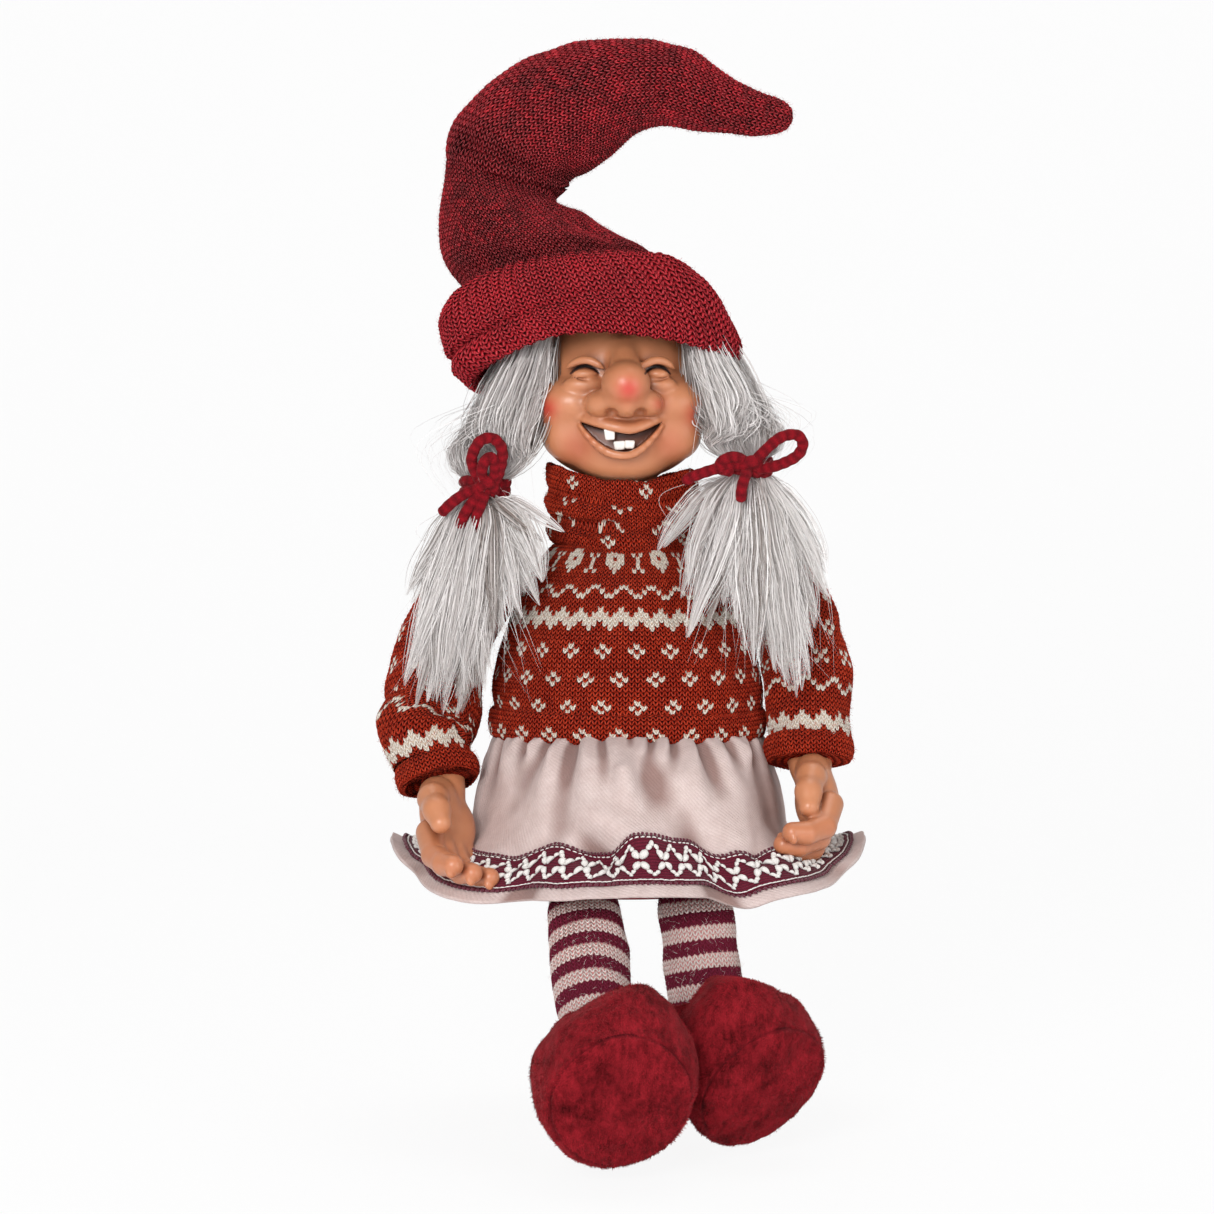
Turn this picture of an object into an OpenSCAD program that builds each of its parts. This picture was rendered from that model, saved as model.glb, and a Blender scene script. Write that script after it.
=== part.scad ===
// Seated gnome doll: vinyl head and hands, knitted hat and sweater, felt skirt, striped legs, plush boots.
// Origin: centre of the seat's underside. +X is to a viewer's right, -Y is the front, +Z is up.

/* [Seat and body] */
// Width of the flat seat panel
seat_w = 92; // [86:1:98]
// Depth of the flat seat panel
seat_d = 88; // [82:1:92]
// Thickness of the seat panel with its seam
seat_t = 2; // [1.5:0.1:3]
// Width of the stuffed body at the hips
hip_w = 104; // [100:1:108]
// Depth of the stuffed body at the hips
hip_d = 98; // [94:1:102]
// Height of the hips above the seat
hip_z = 19; // [16:1:24]
// Width of the waist
waist_w = 90; // [86:1:94]
// Depth of the waist
waist_d = 70; // [66:1:73]
// Height of the waist above the seat
waist_z = 67; // [64:1:70]
// Width across the shoulders
shoulder_w = 84; // [78:1:88]
// Depth across the shoulders
shoulder_d = 56; // [50:1:60]
// Height of the shoulders above the seat
shoulder_z = 124; // [120:1:128]
// Radius of the cloth neck
neck_r = 16; // [15:0.5:18]
// Height of the top of the cloth neck
neck_top_z = 160; // [158:1:161]
// Height of the bag of pellets in the seat
pellet_h = 26; // [18:1:34]
// Thickness of the body cloth
cloth_t = 1.2; // [0.8:0.1:1.6]

/* [Head] */
// Width of the head
head_w = 70; // [66:1:72]
// Depth of the head without the nose
head_d = 70; // [66:1:72]
// Height of the underside of the chin
chin_z = 171; // [170:0.5:173]
// Height of the top of the head
head_top_z = 248; // [244:1:249]
// Sideways shift of the head from the neck
head_x = -3.4; // [-5:0.2:0]
// Wall of the vinyl
vinyl_t = 2.4; // [1.8:0.1:3]
// Length of the nose
nose_l = 16; // [12:0.5:18]
// Height of the nose's middle
nose_z = 211; // [208:0.5:214]
// Height of the mouth
mouth_z = 188; // [186:0.5:190]
// Width of a tooth
tooth_w = 4.2; // [3.4:0.1:4.6]

/* [Hair] */
// Thickness of the hair at the sides
hair_t = 21; // [18:0.5:23]
// Thickness of the hair at the back
hair_back_t = 9; // [7:0.5:11]
// Sideways place of the left tie
tie_left_x = -59; // [-60:0.5:-57]
// Height of the left tie
tie_left_z = 168.5; // [167:0.5:170]
// Sideways place of the right tie
tie_right_x = 49; // [48:0.5:51]
// Height of the right tie
tie_right_z = 177; // [175:0.5:179]
// Radius of the hair inside a tie
tie_hair_r = 7.5; // [6:0.5:8.5]
// Diameter of the tie's yarn
yarn_d = 4.4; // [3.6:0.1:5]
// Height of the lower end of the left bunch
bunch_left_end = 72; // [70:1:80]
// Height of the lower end of the right bunch
bunch_right_end = 76; // [72:1:84]

/* [Hat] */
// Height of the hat brim's lower edge above the seat, at its middle
brim_z = 217; // [216:0.5:219]
// Width of the brim
brim_w = 116; // [114:1:118]
// Depth of the brim
brim_d = 106; // [104:1:108]
// Height of the folded brim
brim_h = 35; // [33:0.5:36]
// Rise of the hat from the lower edge of its brim to its highest place
hat_h = 137; // [132:1:142]
// Thickness of the folded brim
brim_t = 5; // [4:0.2:5.6]
// Thickness of the hat's knitting with its lining
hat_t = 2.6; // [2:0.2:3]
// Running gap at the fold between crown and tail
fold_gap = 0.5; // [0.4:0.1:1]

/* [Sweater] */
// Width of the sweater above its hem
sweater_w = 114; // [112:1:116]
// Depth of the sweater above its hem
sweater_d = 92; // [90:1:94]
// Thickness of the knitting
knit_t = 2.4; // [2:0.1:2.8]
// Height of the hem band's lower edge
hem_z = 63; // [61:0.5:65]
// Height of the hem band
hem_h = 12.5; // [11:0.5:14]
// Thickness of the hem band
hem_t = 3.4; // [3:0.1:4]
// Radius of the rolled collar
collar_r = 31; // [30:0.5:32]
// Thickness of the rolled collar
collar_t = 4; // [3:0.2:5]
// Height of the collar's highest edge
collar_top_z = 175; // [172:0.5:176]

/* [Arms] */
// Radius of the sleeve at the shoulder
shoulder_r = 17; // [16:0.5:17.5]
// Radius of the sleeve at the elbow
elbow_r = 19; // [17:0.5:19.5]
// Radius of the sleeve at the cuff
wrist_r = 16; // [15:0.5:16.5]
// Height of a cuff band
cuff_h = 9; // [7:0.5:11]
// Height of the left cuff's lower edge
cuff_left_z = 46; // [44:0.5:48]
// Height of the right cuff's lower edge
cuff_right_z = 54; // [52:0.5:56]
// Radius of the vinyl wrist
hand_wrist_r = 8.5; // [7.5:0.5:9.5]
// Radius of a finger
finger_r = 3.9; // [3.4:0.1:4.1]

/* [Skirt] */
// Thickness of the felt
felt_t = 1.6; // [1.2:0.1:2]
// Width of the skirt's puffed part
puff_w = 128; // [126:1:130]
// Width of the hem from side to side
skirt_w = 196; // [190:1:200]
// Reach of the hem in front of the body's middle
skirt_front = 90; // [88:1:92]
// Reach of the hem behind the body's middle
skirt_back = 66; // [64:1:70]
// Height of the hem in front
skirt_hem_z = 6; // [5:0.5:8]
// Height of the hem at the sides
skirt_side_z = 22; // [20:0.5:24]
// Number of gathers round the skirt
gathers = 11; // [9:1:13]
// Depth of a gather at the hem
gather_d = 3; // [2:0.5:4]
// Extra swell of the felt in the middle of the front
front_puff = 10; // [6:1:12]
// Width of the woven ribbon
ribbon_w = 20; // [17:0.5:22]
// Thickness of the ribbon with its embroidery
ribbon_t = 1.2; // [0.8:0.1:1.6]
// Width of bare felt below the ribbon
ribbon_edge = 5; // [4:0.5:7]

/* [Legs and boots] */
// Radius of a leg
leg_r = 15; // [14:0.5:15.5]
// Thickness of a leg's knitting
leg_t = 1.4; // [1:0.1:1.8]
// Width of a boot's sole panel
sole_w = 58; // [56:1:60]
// Length of a boot's sole panel
sole_l = 60; // [58:1:62]
// How far a boot bulges past its sole panel
boot_bulge = 3.5; // [3:0.5:4]
// Height of a boot from its sole to the ankle
boot_h = 46; // [44:1:48]
// Thickness of the plush
plush_t = 3; // [2.4:0.2:3.6]
// Height of the dome on a sole panel
sole_dome = 5; // [4:0.5:6]

/* [Hidden] */

// Gap between sewn or touching layers, and between soft parts that move apart
ease = 0.3;
X = [1, 0, 0];
Y = [0, 1, 0];
Z = [0, 0, 1];

// ---- Lists and curves ----

function reverse(list) = [for (i = [len(list) - 1:-1:0]) list[i]];
function unit(v) = v / norm(v);
function lerp(a, b, t) = a + (b - a) * t;
function sum(list, i = 0) = i == len(list) - 1 ? list[i] : list[i] + sum(list, i + 1);
function mean(list) = sum(list) / len(list);

// Catmull-Rom point between p1 and p2
function blend_point(p0, p1, p2, p3, t) =
    0.5 * (2 * p1 + (p2 - p0) * t + (2 * p0 - 5 * p1 + 4 * p2 - p3) * t * t
        + (3 * p1 - p0 - 3 * p2 + p3) * t * t * t);

// Smooth open curve through stations, with a number of steps between each two
function curve(stations, steps) =
    let (last = len(stations) - 1)
    concat(
        [for (i = [0:last - 1]) for (k = [0:steps - 1])
            blend_point(stations[max(i - 1, 0)], stations[i], stations[i + 1],
                stations[min(i + 2, last)], k / steps)],
        [stations[last]]);

// ---- Rings, skins and cloth ----

// Oval ring of n points round c, with half-widths a along u and b along v
function ring(c, u, v, a, b, n) =
    [for (i = [0:n - 1]) c + a * cos(360 * i / n) * u + b * sin(360 * i / n) * v];

// Level rings for rows of [z, half-width, half-depth]
function level_rings(rows, n) = [for (r = rows) ring([0, 0, r[0]], X, Y, r[1], r[2], n)];

// Rings along a path for rows of [x, y, z, half-width, half-depth, lean, tilt]: lean turns a ring
// about Y and tilt about X, both in degrees from level
function leaning_rings(rows, n) =
    [for (r = rows)
        ring([r[0], r[1], r[2]], [cos(r[5]), 0, sin(r[5])], [0, cos(r[6]), -sin(r[6])], r[3], r[4], n)];

// Rings square to a path for rows of [x, y, z, half-width, half-depth]
function swept_rings(rows, n) =
    let (last = len(rows) - 1)
    [for (i = [0:last])
        let (
            a = rows[max(i - 1, 0)],
            b = rows[min(i + 1, last)],
            t = unit([b[0] - a[0], b[1] - a[1], b[2] - a[2]]),
            side = unit(cross(Y, t)),
            back = cross(t, side)
        )
        ring([rows[i][0], rows[i][1], rows[i][2]], side, back, rows[i][3], rows[i][4], n)];

function grid_normal(g, j, i) =
    let (
        m = len(g),
        n = len(g[0]),
        du = g[j][(i + 1) % n] - g[j][(i + n - 1) % n],
        dv = g[min(j + 1, m - 1)][i] - g[max(j - 1, 0)][i]
    )
    unit(cross(du, dv));

// Grid moved outward by d
function offset_grid(g, d) =
    [for (j = [0:len(g) - 1]) [for (i = [0:len(g[0]) - 1]) g[j][i] + d * grid_normal(g, j, i)]];

// Closed skin over rings that all have as many points: capped at both ends, or wrapped into a tube
// with a wall
module skin(rings, wrap = false) {
    m = len(rings);
    n = len(rings[0]);
    walls = [for (j = [0:(wrap ? m - 1 : m - 2)]) for (i = [0:n - 1])
        let (
            a = j * n + i,
            b = j * n + (i + 1) % n,
            c = ((j + 1) % m) * n + i,
            d = ((j + 1) % m) * n + (i + 1) % n
        )
        each [[a, c, d], [a, d, b]]];
    first_cap = wrap ? [] : [for (i = [0:n - 1]) [m * n, i, (i + 1) % n]];
    last_cap = wrap ? [] : [for (i = [0:n - 1]) [m * n + 1, (m - 1) * n + (i + 1) % n, (m - 1) * n + i]];
    ends = wrap ? [] : [mean(rings[0]), mean(rings[m - 1])];
    polyhedron(points = concat([for (r = rings) each r], ends), faces = concat(walls, first_cap, last_cap));
}

// Sheet of thickness t inside the grid g, open at both ends
module tube_cloth(g, t) {
    skin(concat(g, reverse(offset_grid(g, -t))), wrap = true);
}

// Sheet of thickness t inside the grid g, open at the first ring and closed at the last
module bag_cloth(g, t) {
    skin(concat(reverse(offset_grid(g, -t)), g));
}

// ---- Body and its cover ----

BODY_N = 24;
neck_base_z = neck_top_z - 16;
body_rows = curve([
    [seat_t + ease, seat_w / 2 + 2, seat_d / 2 + 2],
    [hip_z, hip_w / 2, hip_d / 2],
    [waist_z, waist_w / 2, waist_d / 2],
    [(waist_z + shoulder_z) / 2, (waist_w + shoulder_w) / 4 + 1, (waist_d + shoulder_d) / 4 + 1],
    [shoulder_z, shoulder_w / 2, shoulder_d / 2],
    [shoulder_z + 12, shoulder_w / 2 - 13, shoulder_d / 2 - 6],
    [neck_base_z, neck_r, neck_r]
], 2);
body_grid = concat(
    level_rings(body_rows, BODY_N),
    [for (z = [neck_base_z + 3, neck_top_z]) ring([0, 0, z], X, Y, neck_r, neck_r, BODY_N)]);
function body_half_w(z) = lookup(z, [for (r = body_rows) [r[0], r[1]]]);
function body_half_d(z) = lookup(z, [for (r = body_rows) [r[0], r[2]]]);

// Profile rows [z, half-width, half-depth] moved outward by d, square to their slope
function offset_rows(rows, d) =
    let (last = len(rows) - 1)
    [for (i = [0:last])
        let (
            t = rows[min(i + 1, last)] - rows[max(i - 1, 0)],
            l = norm([t[0], t[1]])
        )
        [rows[i][0] - d * t[1] / l, rows[i][1] + d * t[0] / l, rows[i][2] + d * t[0] / l]];

hem_top_z = hem_z + hem_h;
yoke_rows = offset_rows(
    [for (r = body_rows) if (r[0] >= shoulder_z - 0.1 && r[0] <= shoulder_z + 12.1) r], knit_t + ease);
sweater_rows = concat(
    curve([
        [hem_top_z + ease, sweater_w / 2, sweater_d / 2],
        [hem_top_z + 20, sweater_w / 2 - 1, sweater_d / 2 - 1],
        [shoulder_z - 16, body_half_w(shoulder_z - 16) + 7, body_half_d(shoulder_z - 16) + 8],
        yoke_rows[0]
    ], 2),
    [for (i = [1:len(yoke_rows) - 1]) yoke_rows[i]]);
sweater_grid = level_rings(sweater_rows, BODY_N);
function sweater_half_w(z) = lookup(z, [for (r = sweater_rows) [r[0], r[1]]]);
sweater_top = sweater_rows[len(sweater_rows) - 1];

module seat_panel() {
    color("tan")
        linear_extrude(seat_t)
            polygon([for (i = [0:71]) [seat_w / 2 * cos(5 * i), seat_d / 2 * sin(5 * i)]]);
}

module torso_cloth() {
    color("linen")
        tube_cloth(body_grid, cloth_t);
}

// Grid of the space inside the body cloth, between two heights
function inside_body(low, high) =
    let (rows = offset_rows(body_rows, -cloth_t - ease))
    level_rings([for (z = [low, each [for (r = rows) if (r[0] > low + 2 && r[0] < high - 2) r[0]], high])
        [z, lookup(z, [for (r = rows) [r[0], r[1]]]), lookup(z, [for (r = rows) [r[0], r[2]]])]], BODY_N);
pellet_top_z = seat_t + ease + pellet_h;
// The stuffing ends under the flange of the vinyl neck
fill_top_z = neck_base_z - 3;

module pellet_bag() {
    color("gray")
        skin(inside_body(seat_t + ease, pellet_top_z));
}

module torso_fill() {
    color("white")
        skin(inside_body(pellet_top_z + ease, fill_top_z));
}

// The tie sits at the groove of the vinyl neck
groove_z = neck_top_z - 5;
tie_band_w = 3;
tie_band_t = 1.4;

module neck_tie() {
    color("ivory")
        translate([0, 0, groove_z - tie_band_w / 2])
            rotate_extrude($fn = 72)
                translate([neck_r + ease, 0])
                    square([tie_band_t, tie_band_w]);
}

module sweater_body() {
    color("firebrick")
        tube_cloth(sweater_grid, knit_t);
}

module sweater_hem() {
    color("firebrick")
        tube_cloth(level_rings([
            [hem_z, sweater_w / 2 - 0.5, sweater_d / 2 - 0.5],
            [hem_z + hem_h / 2, sweater_w / 2 + 0.8, sweater_d / 2 + 0.8],
            [hem_top_z, sweater_w / 2, sweater_d / 2]
        ], BODY_N), hem_t);
}

// The collar rises at the sides, under the jaw, and stays low at the chin and the nape
COLLAR_RISE = 3.5;
collar_mid_z = collar_top_z - COLLAR_RISE;
function collar_ring(z, rx, ry, shift, rise) =
    [for (i = [0:BODY_N - 1])
        let (a = 360 * i / BODY_N)
        [shift + rx * cos(a), ry * sin(a), z + rise * cos(2 * a)]];
collar_grid = [
    collar_ring(sweater_top[0] + ease, sweater_top[1], sweater_top[2] + 1, 0, 0),
    collar_ring(sweater_top[0] + knit_t + 7, collar_r + 2.5, collar_r - 1, -1, 0),
    collar_ring(lerp(sweater_top[0], collar_mid_z, 0.55), collar_r + 2.5, collar_r + 1, -2, 0.5),
    collar_ring(lerp(sweater_top[0], collar_mid_z, 0.8), collar_r + 1, collar_r, -3, 2),
    collar_ring(collar_mid_z, collar_r - 0.5, collar_r - 1, head_x, COLLAR_RISE)
];

module sweater_collar() {
    color("firebrick")
        tube_cloth(collar_grid, collar_t);
}

// ---- Skirt ----

ELASTIC_T = 1.6;
waist_out_w = waist_w / 2 + ease + ELASTIC_T;
waist_out_d = waist_d / 2 + ease + ELASTIC_T;

module waist_elastic() {
    color("white")
        tube_cloth(level_rings([for (z = [waist_z - 5, waist_z + 1])
            [z, body_half_w(z) + ease + ELASTIC_T, body_half_d(z) + ease + ELASTIC_T]], BODY_N), ELASTIC_T);
}

SKIRT_N = 48;
SKIRT_STEPS = 2;
skirt_top_z = min(waist_z, hem_z + 4);
// Profiles [reach, z] from the hem up to the waist, at the sides, in front and behind
side_profile = curve([
    [skirt_w / 2, skirt_side_z],
    [lerp(puff_w, skirt_w, 0.55) / 2, skirt_side_z - 4.5],
    [puff_w / 2 + 4, skirt_side_z + 1],
    [puff_w / 2, skirt_side_z + 15],
    [puff_w / 2 - 6, hem_z - 7],
    [waist_out_w + ease + felt_t + 1, hem_z - 1]
], SKIRT_STEPS);
front_profile = curve([
    [skirt_front, skirt_hem_z],
    [skirt_front - 10, skirt_hem_z + 8],
    [skirt_front - 20, skirt_hem_z + 20],
    [skirt_front - 27, skirt_hem_z + 36],
    [skirt_front - 34, hem_z - 7],
    [waist_out_d + ease + felt_t + 1, hem_z - 1]
], SKIRT_STEPS);
back_profile = curve([
    [skirt_back, felt_t + ease],
    [skirt_back - 2, 8],
    [skirt_back - 4, 20],
    [skirt_back - 7, 36],
    [skirt_back - 14, hem_z - 7],
    [waist_out_d + ease + felt_t + 1, hem_z - 1]
], SKIRT_STEPS);

skirt_slack = felt_t + 2.5 * ease;

// Point on the felt at ring j and angle a, counted from +X
function skirt_point(j, a) =
    let (
        f = 1 - j / (len(side_profile) - 1),
        c = cos(a),
        s = sin(a),
        end = s < 0 ? front_profile[j] : back_profile[j],
        square = lerp(1, 0.86, f),
        side = pow(abs(c), 8),
        wave = gather_d * f * sin(gathers * a + 40) * (1 - 0.6 * side),
        puff = s < 0 ? front_puff * pow(-s, 6) * sin(180 * f) : 0
    )
    [
        sign(c) * pow(abs(c), square) * (side_profile[j][0] + wave),
        sign(s) * pow(abs(s), square) * (end[0] + wave + puff),
        lerp(end[1], side_profile[j][1], side)
    ];
skirt_grid = [
    each [for (j = [0:len(side_profile) - 1]) [for (i = [0:SKIRT_N - 1]) skirt_point(j, 360 * i / SKIRT_N)]],
    ring([0, 0, skirt_top_z], X, Y, waist_out_w + skirt_slack, waist_out_d + skirt_slack, SKIRT_N)
];

module skirt() {
    color("mistyrose")
        tube_cloth(skirt_grid, felt_t);
}

// Point at a distance along column i of a grid, from its first ring
function along(g, i, distance, j = 0) =
    let (step = norm(g[j + 1][i] - g[j][i]))
    step >= distance || j == len(g) - 2
        ? lerp(g[j][i], g[j + 1][i], distance / step)
        : along(g, i, distance - step, j + 1);
RIBBON_GAP = 0.45;
RIBBON_ROWS = 2;
function ribbon_grid(d) =
    let (g = offset_grid(skirt_grid, d))
    [for (k = [0:RIBBON_ROWS])
        [for (i = [0:SKIRT_N - 1]) along(g, i, ribbon_edge + ribbon_w * k / RIBBON_ROWS)]];

module skirt_ribbon() {
    color("maroon")
        skin(concat(ribbon_grid(RIBBON_GAP + ribbon_t), reverse(ribbon_grid(RIBBON_GAP))), wrap = true);
}

// ---- Head ----

HEAD_N = 36;
flange_r = neck_r - cloth_t - 0.6;
// Profile rows [z, half-width, half-depth, sideways shift]
head_rows = [
    [fill_top_z + ease, flange_r - 1, flange_r - 1, 0],
    [groove_z - 4, flange_r, flange_r, 0],
    [groove_z - 2, flange_r, flange_r, 0],
    [groove_z, flange_r - 2, flange_r - 2, 0],
    [groove_z + 3, flange_r - 1, flange_r - 1, 0],
    [chin_z - 5, flange_r, flange_r, 0],
    [chin_z - 1.5, 16, 16, 0.5 * head_x],
    [chin_z + 0.5, 19.5, 20.5, 0.8 * head_x],
    each curve([
        [chin_z + 3, 22.5, 23.5, head_x],
        [chin_z + 8, 27, 27, head_x],
        [chin_z + 16, head_w / 2 - 2.5, head_d / 2 - 4, head_x],
        [chin_z + 27, head_w / 2, head_d / 2 - 1, head_x],
        [chin_z + 40, head_w / 2, head_d / 2, head_x],
        [chin_z + 53, head_w / 2 - 2, head_d / 2 - 1, head_x],
        [head_top_z - 16, head_w / 2 - 4, head_d / 2 - 3, head_x],
        [head_top_z - 8, head_w / 2 - 10, head_d / 2 - 9, head_x],
        [head_top_z - 2.5, head_w / 2 - 20, head_d / 2 - 19, head_x],
        [head_top_z, 2, 2, head_x]
    ], 2)
];
function head_half_w(z) = lookup(z, [for (r = head_rows) [r[0], r[1]]]);
function head_half_d(z) = lookup(z, [for (r = head_rows) [r[0], r[2]]]);
// Bump of height h at a sideways offset u and height v from its middle
function bump(u, v, half_u, half_v, h) = h * exp(-pow(u / half_u, 2) - pow(v / half_v, 2));
// How far the face stands out at angle a from the front and height z
function face_relief(a, z) =
    let (u = head_w / 2 * a * PI / 180)
    bump(u, z - nose_z, 11, z > nose_z ? 8 : 10, nose_l)
        + bump(abs(u) - 24, z - nose_z + 12, 9, 9, 2.5)
        + bump(u, z - chin_z - 6, 13, 5, 4)
        + bump(u, z - mouth_z + 7, 12, 3, 1.5)
        - bump(u, z - mouth_z, 14, 4, 4)
        - bump(abs(u) - 13, z - nose_z - 8, 7, 5, 2.5);
function head_ring(row, inset, relief) =
    [for (i = [0:HEAD_N - 1])
        let (
            t = 360 * i / HEAD_N,
            out = relief * face_relief((t + 270) % 360 - 180, row[0]) - inset
        )
        [row[3] + (row[1] + out) * cos(t), (row[2] + out) * sin(t), row[0]]];
head_grid = [for (r = head_rows) head_ring(r, 0, r[0] > chin_z - 2 ? 1 : 0)];
head_hollow = [for (k = [0:2:len(head_rows) - 3])
    head_ring(head_rows[k], vinyl_t, head_rows[k][0] > chin_z - 2 ? 0.6 : 0)];

module head_shell() {
    color("burlywood")
        skin(concat(reverse(head_hollow), head_grid));
}

// Point on the face: sideways offset from the head's middle, height, and depth out of the skin
function face_point(u, z, out) =
    let (a = u / (head_w / 2) * 180 / PI)
    [
        head_x + (head_half_w(z) + face_relief(a, z) + out) * sin(a),
        -(head_half_d(z) + face_relief(a, z) + out) * cos(a),
        z
    ];

// Tooth with rounded corners, set on the floor of the mouth
module tooth(u, z, w, h) {
    depth = 1.6;
    round_r = 0.8;
    back = face_point(u, z, depth / 2 + 3 * ease);
    translate(back)
        rotate([0, 0, u / (head_w / 2) * 180 / PI])
            hull()
                for (x = [-1, 1], y = [-1, 1])
                    translate([x * (w / 2 - round_r), 0, y * (h / 2 - round_r)])
                        rotate([90, 0, 0])
                            cylinder(r = round_r, h = depth, center = true, $fn = 16);
}

module upper_tooth() {
    color("white")
        tooth(-4.2, mouth_z + 1.6, tooth_w, 4.2);
}

module lower_teeth() {
    color("white")
        for (side = [-1, 1])
            tooth(2.4 + side * (tooth_w + 0.6) / 2, mouth_z - 2.9, tooth_w, 3.4);
}

CAP_N = 20;
CAP_T = 1.2;
cap_slack = CAP_T + 2 * ease;
cap_zs = [head_top_z - 20, head_top_z - 14, head_top_z - 8, head_top_z - 4, head_top_z - 1.5];
cap_grid = [
    each [for (z = cap_zs)
        ring([head_x, 0, z + CAP_T], X, Y, head_half_w(z) + cap_slack, head_half_d(z) + cap_slack, CAP_N)],
    ring([head_x, 0, head_top_z + 2 * ease + CAP_T], X, Y, 3, 3, CAP_N)
];

module wig_cap() {
    color("silver")
        bag_cloth(cap_grid, CAP_T);
}

// ---- Hair ----

TIE_Y = -22;
STRAND_N = 10;
// Gap between the head and the hair, which takes up the steps between their rings
HAIR_GAP = 4 * ease;
// Radius of the bare head at angle a from the front, as seen from above
function head_plan_r(a, z) =
    1 / norm([sin(a) / (head_half_w(z) + HAIR_GAP), cos(a) / (head_half_d(z) + HAIR_GAP)]);
// Hair hangs straight below the widest part of the head
hang_z = chin_z + 27;
function hair_inner(a, z) = head_plan_r(a, max(z, hang_z));
function plan_point(a, r, z) = [head_x + r * sin(a), -r * cos(a), z];
// Thickness left at each height: full at the cheeks, thin under the brim
function hair_share(z) = lookup(z, [
    [tie_right_z, 0.85], [hang_z, 1], [hang_z + 9, 0.6], [hair_top_z - 12.5, 0.2], [hair_top_z - 0.5, 0.1]]);
hair_top_z = head_top_z - 20.5;
// Angle of the hair's front edge: it frames the cheeks and closes in over the forehead
function hair_front(z) =
    lookup(z, [[hang_z - 12, 82], [hang_z + 8, 72], [hair_top_z - 7.5, 56], [hair_top_z + 2.5, 44]]);
HAIR_BACK = 128;
HAIR_EDGE = 1;
HAIR_THICK = 1.35;
// Crescent of points round one side of the head, starting at the back edge
function hair_crescent(z) =
    let (front = hair_front(z))
    [
        each [for (i = [0:STRAND_N - 1])
            let (
                k = i / (STRAND_N - 1),
                a = lerp(front, HAIR_BACK, k),
                thick = HAIR_THICK * hair_t * hair_share(z) * pow(sin(180 * k), 0.8)
            )
            plan_point(a, hair_inner(a, z) + HAIR_EDGE + thick, z)],
        each [for (i = [STRAND_N - 1:-1:0])
            let (a = lerp(front, HAIR_BACK, i / (STRAND_N - 1)))
            plan_point(a, hair_inner(a, z), z)]
    ];
// Length of hair that a tie holds tight, above and below its middle
tie_hold = yarn_d / 2 + ease;
function tie_ring(x, z) =
    [for (i = [0:2 * STRAND_N - 1])
        let (a = 270 + 180 * (i + 0.5) / STRAND_N)
        [x + tie_hair_r * cos(a), TIE_Y + tie_hair_r * sin(a), z]];
// Rings for the right side, where x is the tie's distance from the middle
function hair_side(x, z0) =
    let (gather_z = hang_z - 4)
    [
        tie_ring(x, z0 + ease / 2),
        tie_ring(x, z0 + tie_hold),
        each [for (k = [0.2, 0.4, 0.7])
            let (z = lerp(z0, gather_z, k), m = hair_crescent(z), c = tie_ring(x, z), f = pow(k, 0.8))
            [for (i = [0:2 * STRAND_N - 1]) lerp(c[i], m[i], f)]],
        each [for (z = [gather_z, hang_z + 8, hair_top_z - 13.5, hair_top_z - 6.5, hair_top_z])
            hair_crescent(z)]
    ];
// The same rings on the other side of the head's middle
function mirror_rings(rings, middle) =
    [for (r = rings) reverse([for (p = r) [2 * middle - p[0], p[1], p[2]]])];

module hair_left() {
    color("silver")
        skin(mirror_rings(hair_side(2 * head_x - tie_left_x, tie_left_z), head_x));
}

module hair_right() {
    color("silver")
        skin(hair_side(tie_right_x, tie_right_z));
}

BACK_SPAN = 48;
function back_crescent(z, share) =
    [
        each [for (i = [0:STRAND_N - 1])
            let (k = i / (STRAND_N - 1), a = 180 + BACK_SPAN * (2 * k - 1))
            plan_point(a, hair_inner(a, z) + HAIR_EDGE + hair_back_t * share * pow(sin(180 * k), 0.6), z)],
        each [for (i = [STRAND_N - 1:-1:0])
            let (a = 180 + BACK_SPAN * (2 * i / (STRAND_N - 1) - 1))
            plan_point(a, hair_inner(a, z), z)]
    ];

module hair_back() {
    color("silver")
        skin([for (row = [
                [hang_z - 15, 0.3], [hang_z - 9, 0.8], [hang_z, 1], [hang_z + 7, 0.6],
                [hair_top_z - 10.5, 0.35], [hair_top_z - 3.5, 0.2], [hair_top_z, 0.1]])
            back_crescent(row[0], row[1])]);
}

// Bunches of hair below the ties: rows of [x, y, z, half-width, half-depth] from the lower end up
BUNCH_N = 16;
pigtail_left_rows = curve([
    [tie_left_x - 17, -43, bunch_left_end, 9, 4],
    [tie_left_x - 17, -43, bunch_left_end + 12, 19, 8],
    [tie_left_x - 11, -41, bunch_left_end + 36, 23, 10],
    [tie_left_x - 4, -36, tie_left_z - 32, 22, 10.5],
    [tie_left_x, -28, tie_left_z - 12, 14, 10],
    [tie_left_x, TIE_Y, tie_left_z - tie_hold, tie_hair_r, tie_hair_r]
], 2);
pigtail_right_rows = curve([
    [tie_right_x + 12, -40, bunch_right_end, 6, 4],
    [tie_right_x + 11, -41, bunch_right_end + 12, 11.5, 7],
    [tie_right_x + 4, -43, bunch_right_end + 34, 21, 9],
    [tie_right_x, -42, bunch_right_end + 60, 22.5, 10],
    [tie_right_x, -31, tie_right_z - 16, 15, 10],
    [tie_right_x, TIE_Y, tie_right_z - tie_hold, tie_hair_r, tie_hair_r]
], 2);

module pigtail(rows, x, z) {
    color("silver")
        skin([
            each [for (r = rows) ring([r[0], r[1], r[2]], X, Y, r[3], r[4], BUNCH_N)],
            ring([x, TIE_Y, z - ease / 2], X, Y, tie_hair_r, tie_hair_r, BUNCH_N)
        ]);
}

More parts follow.
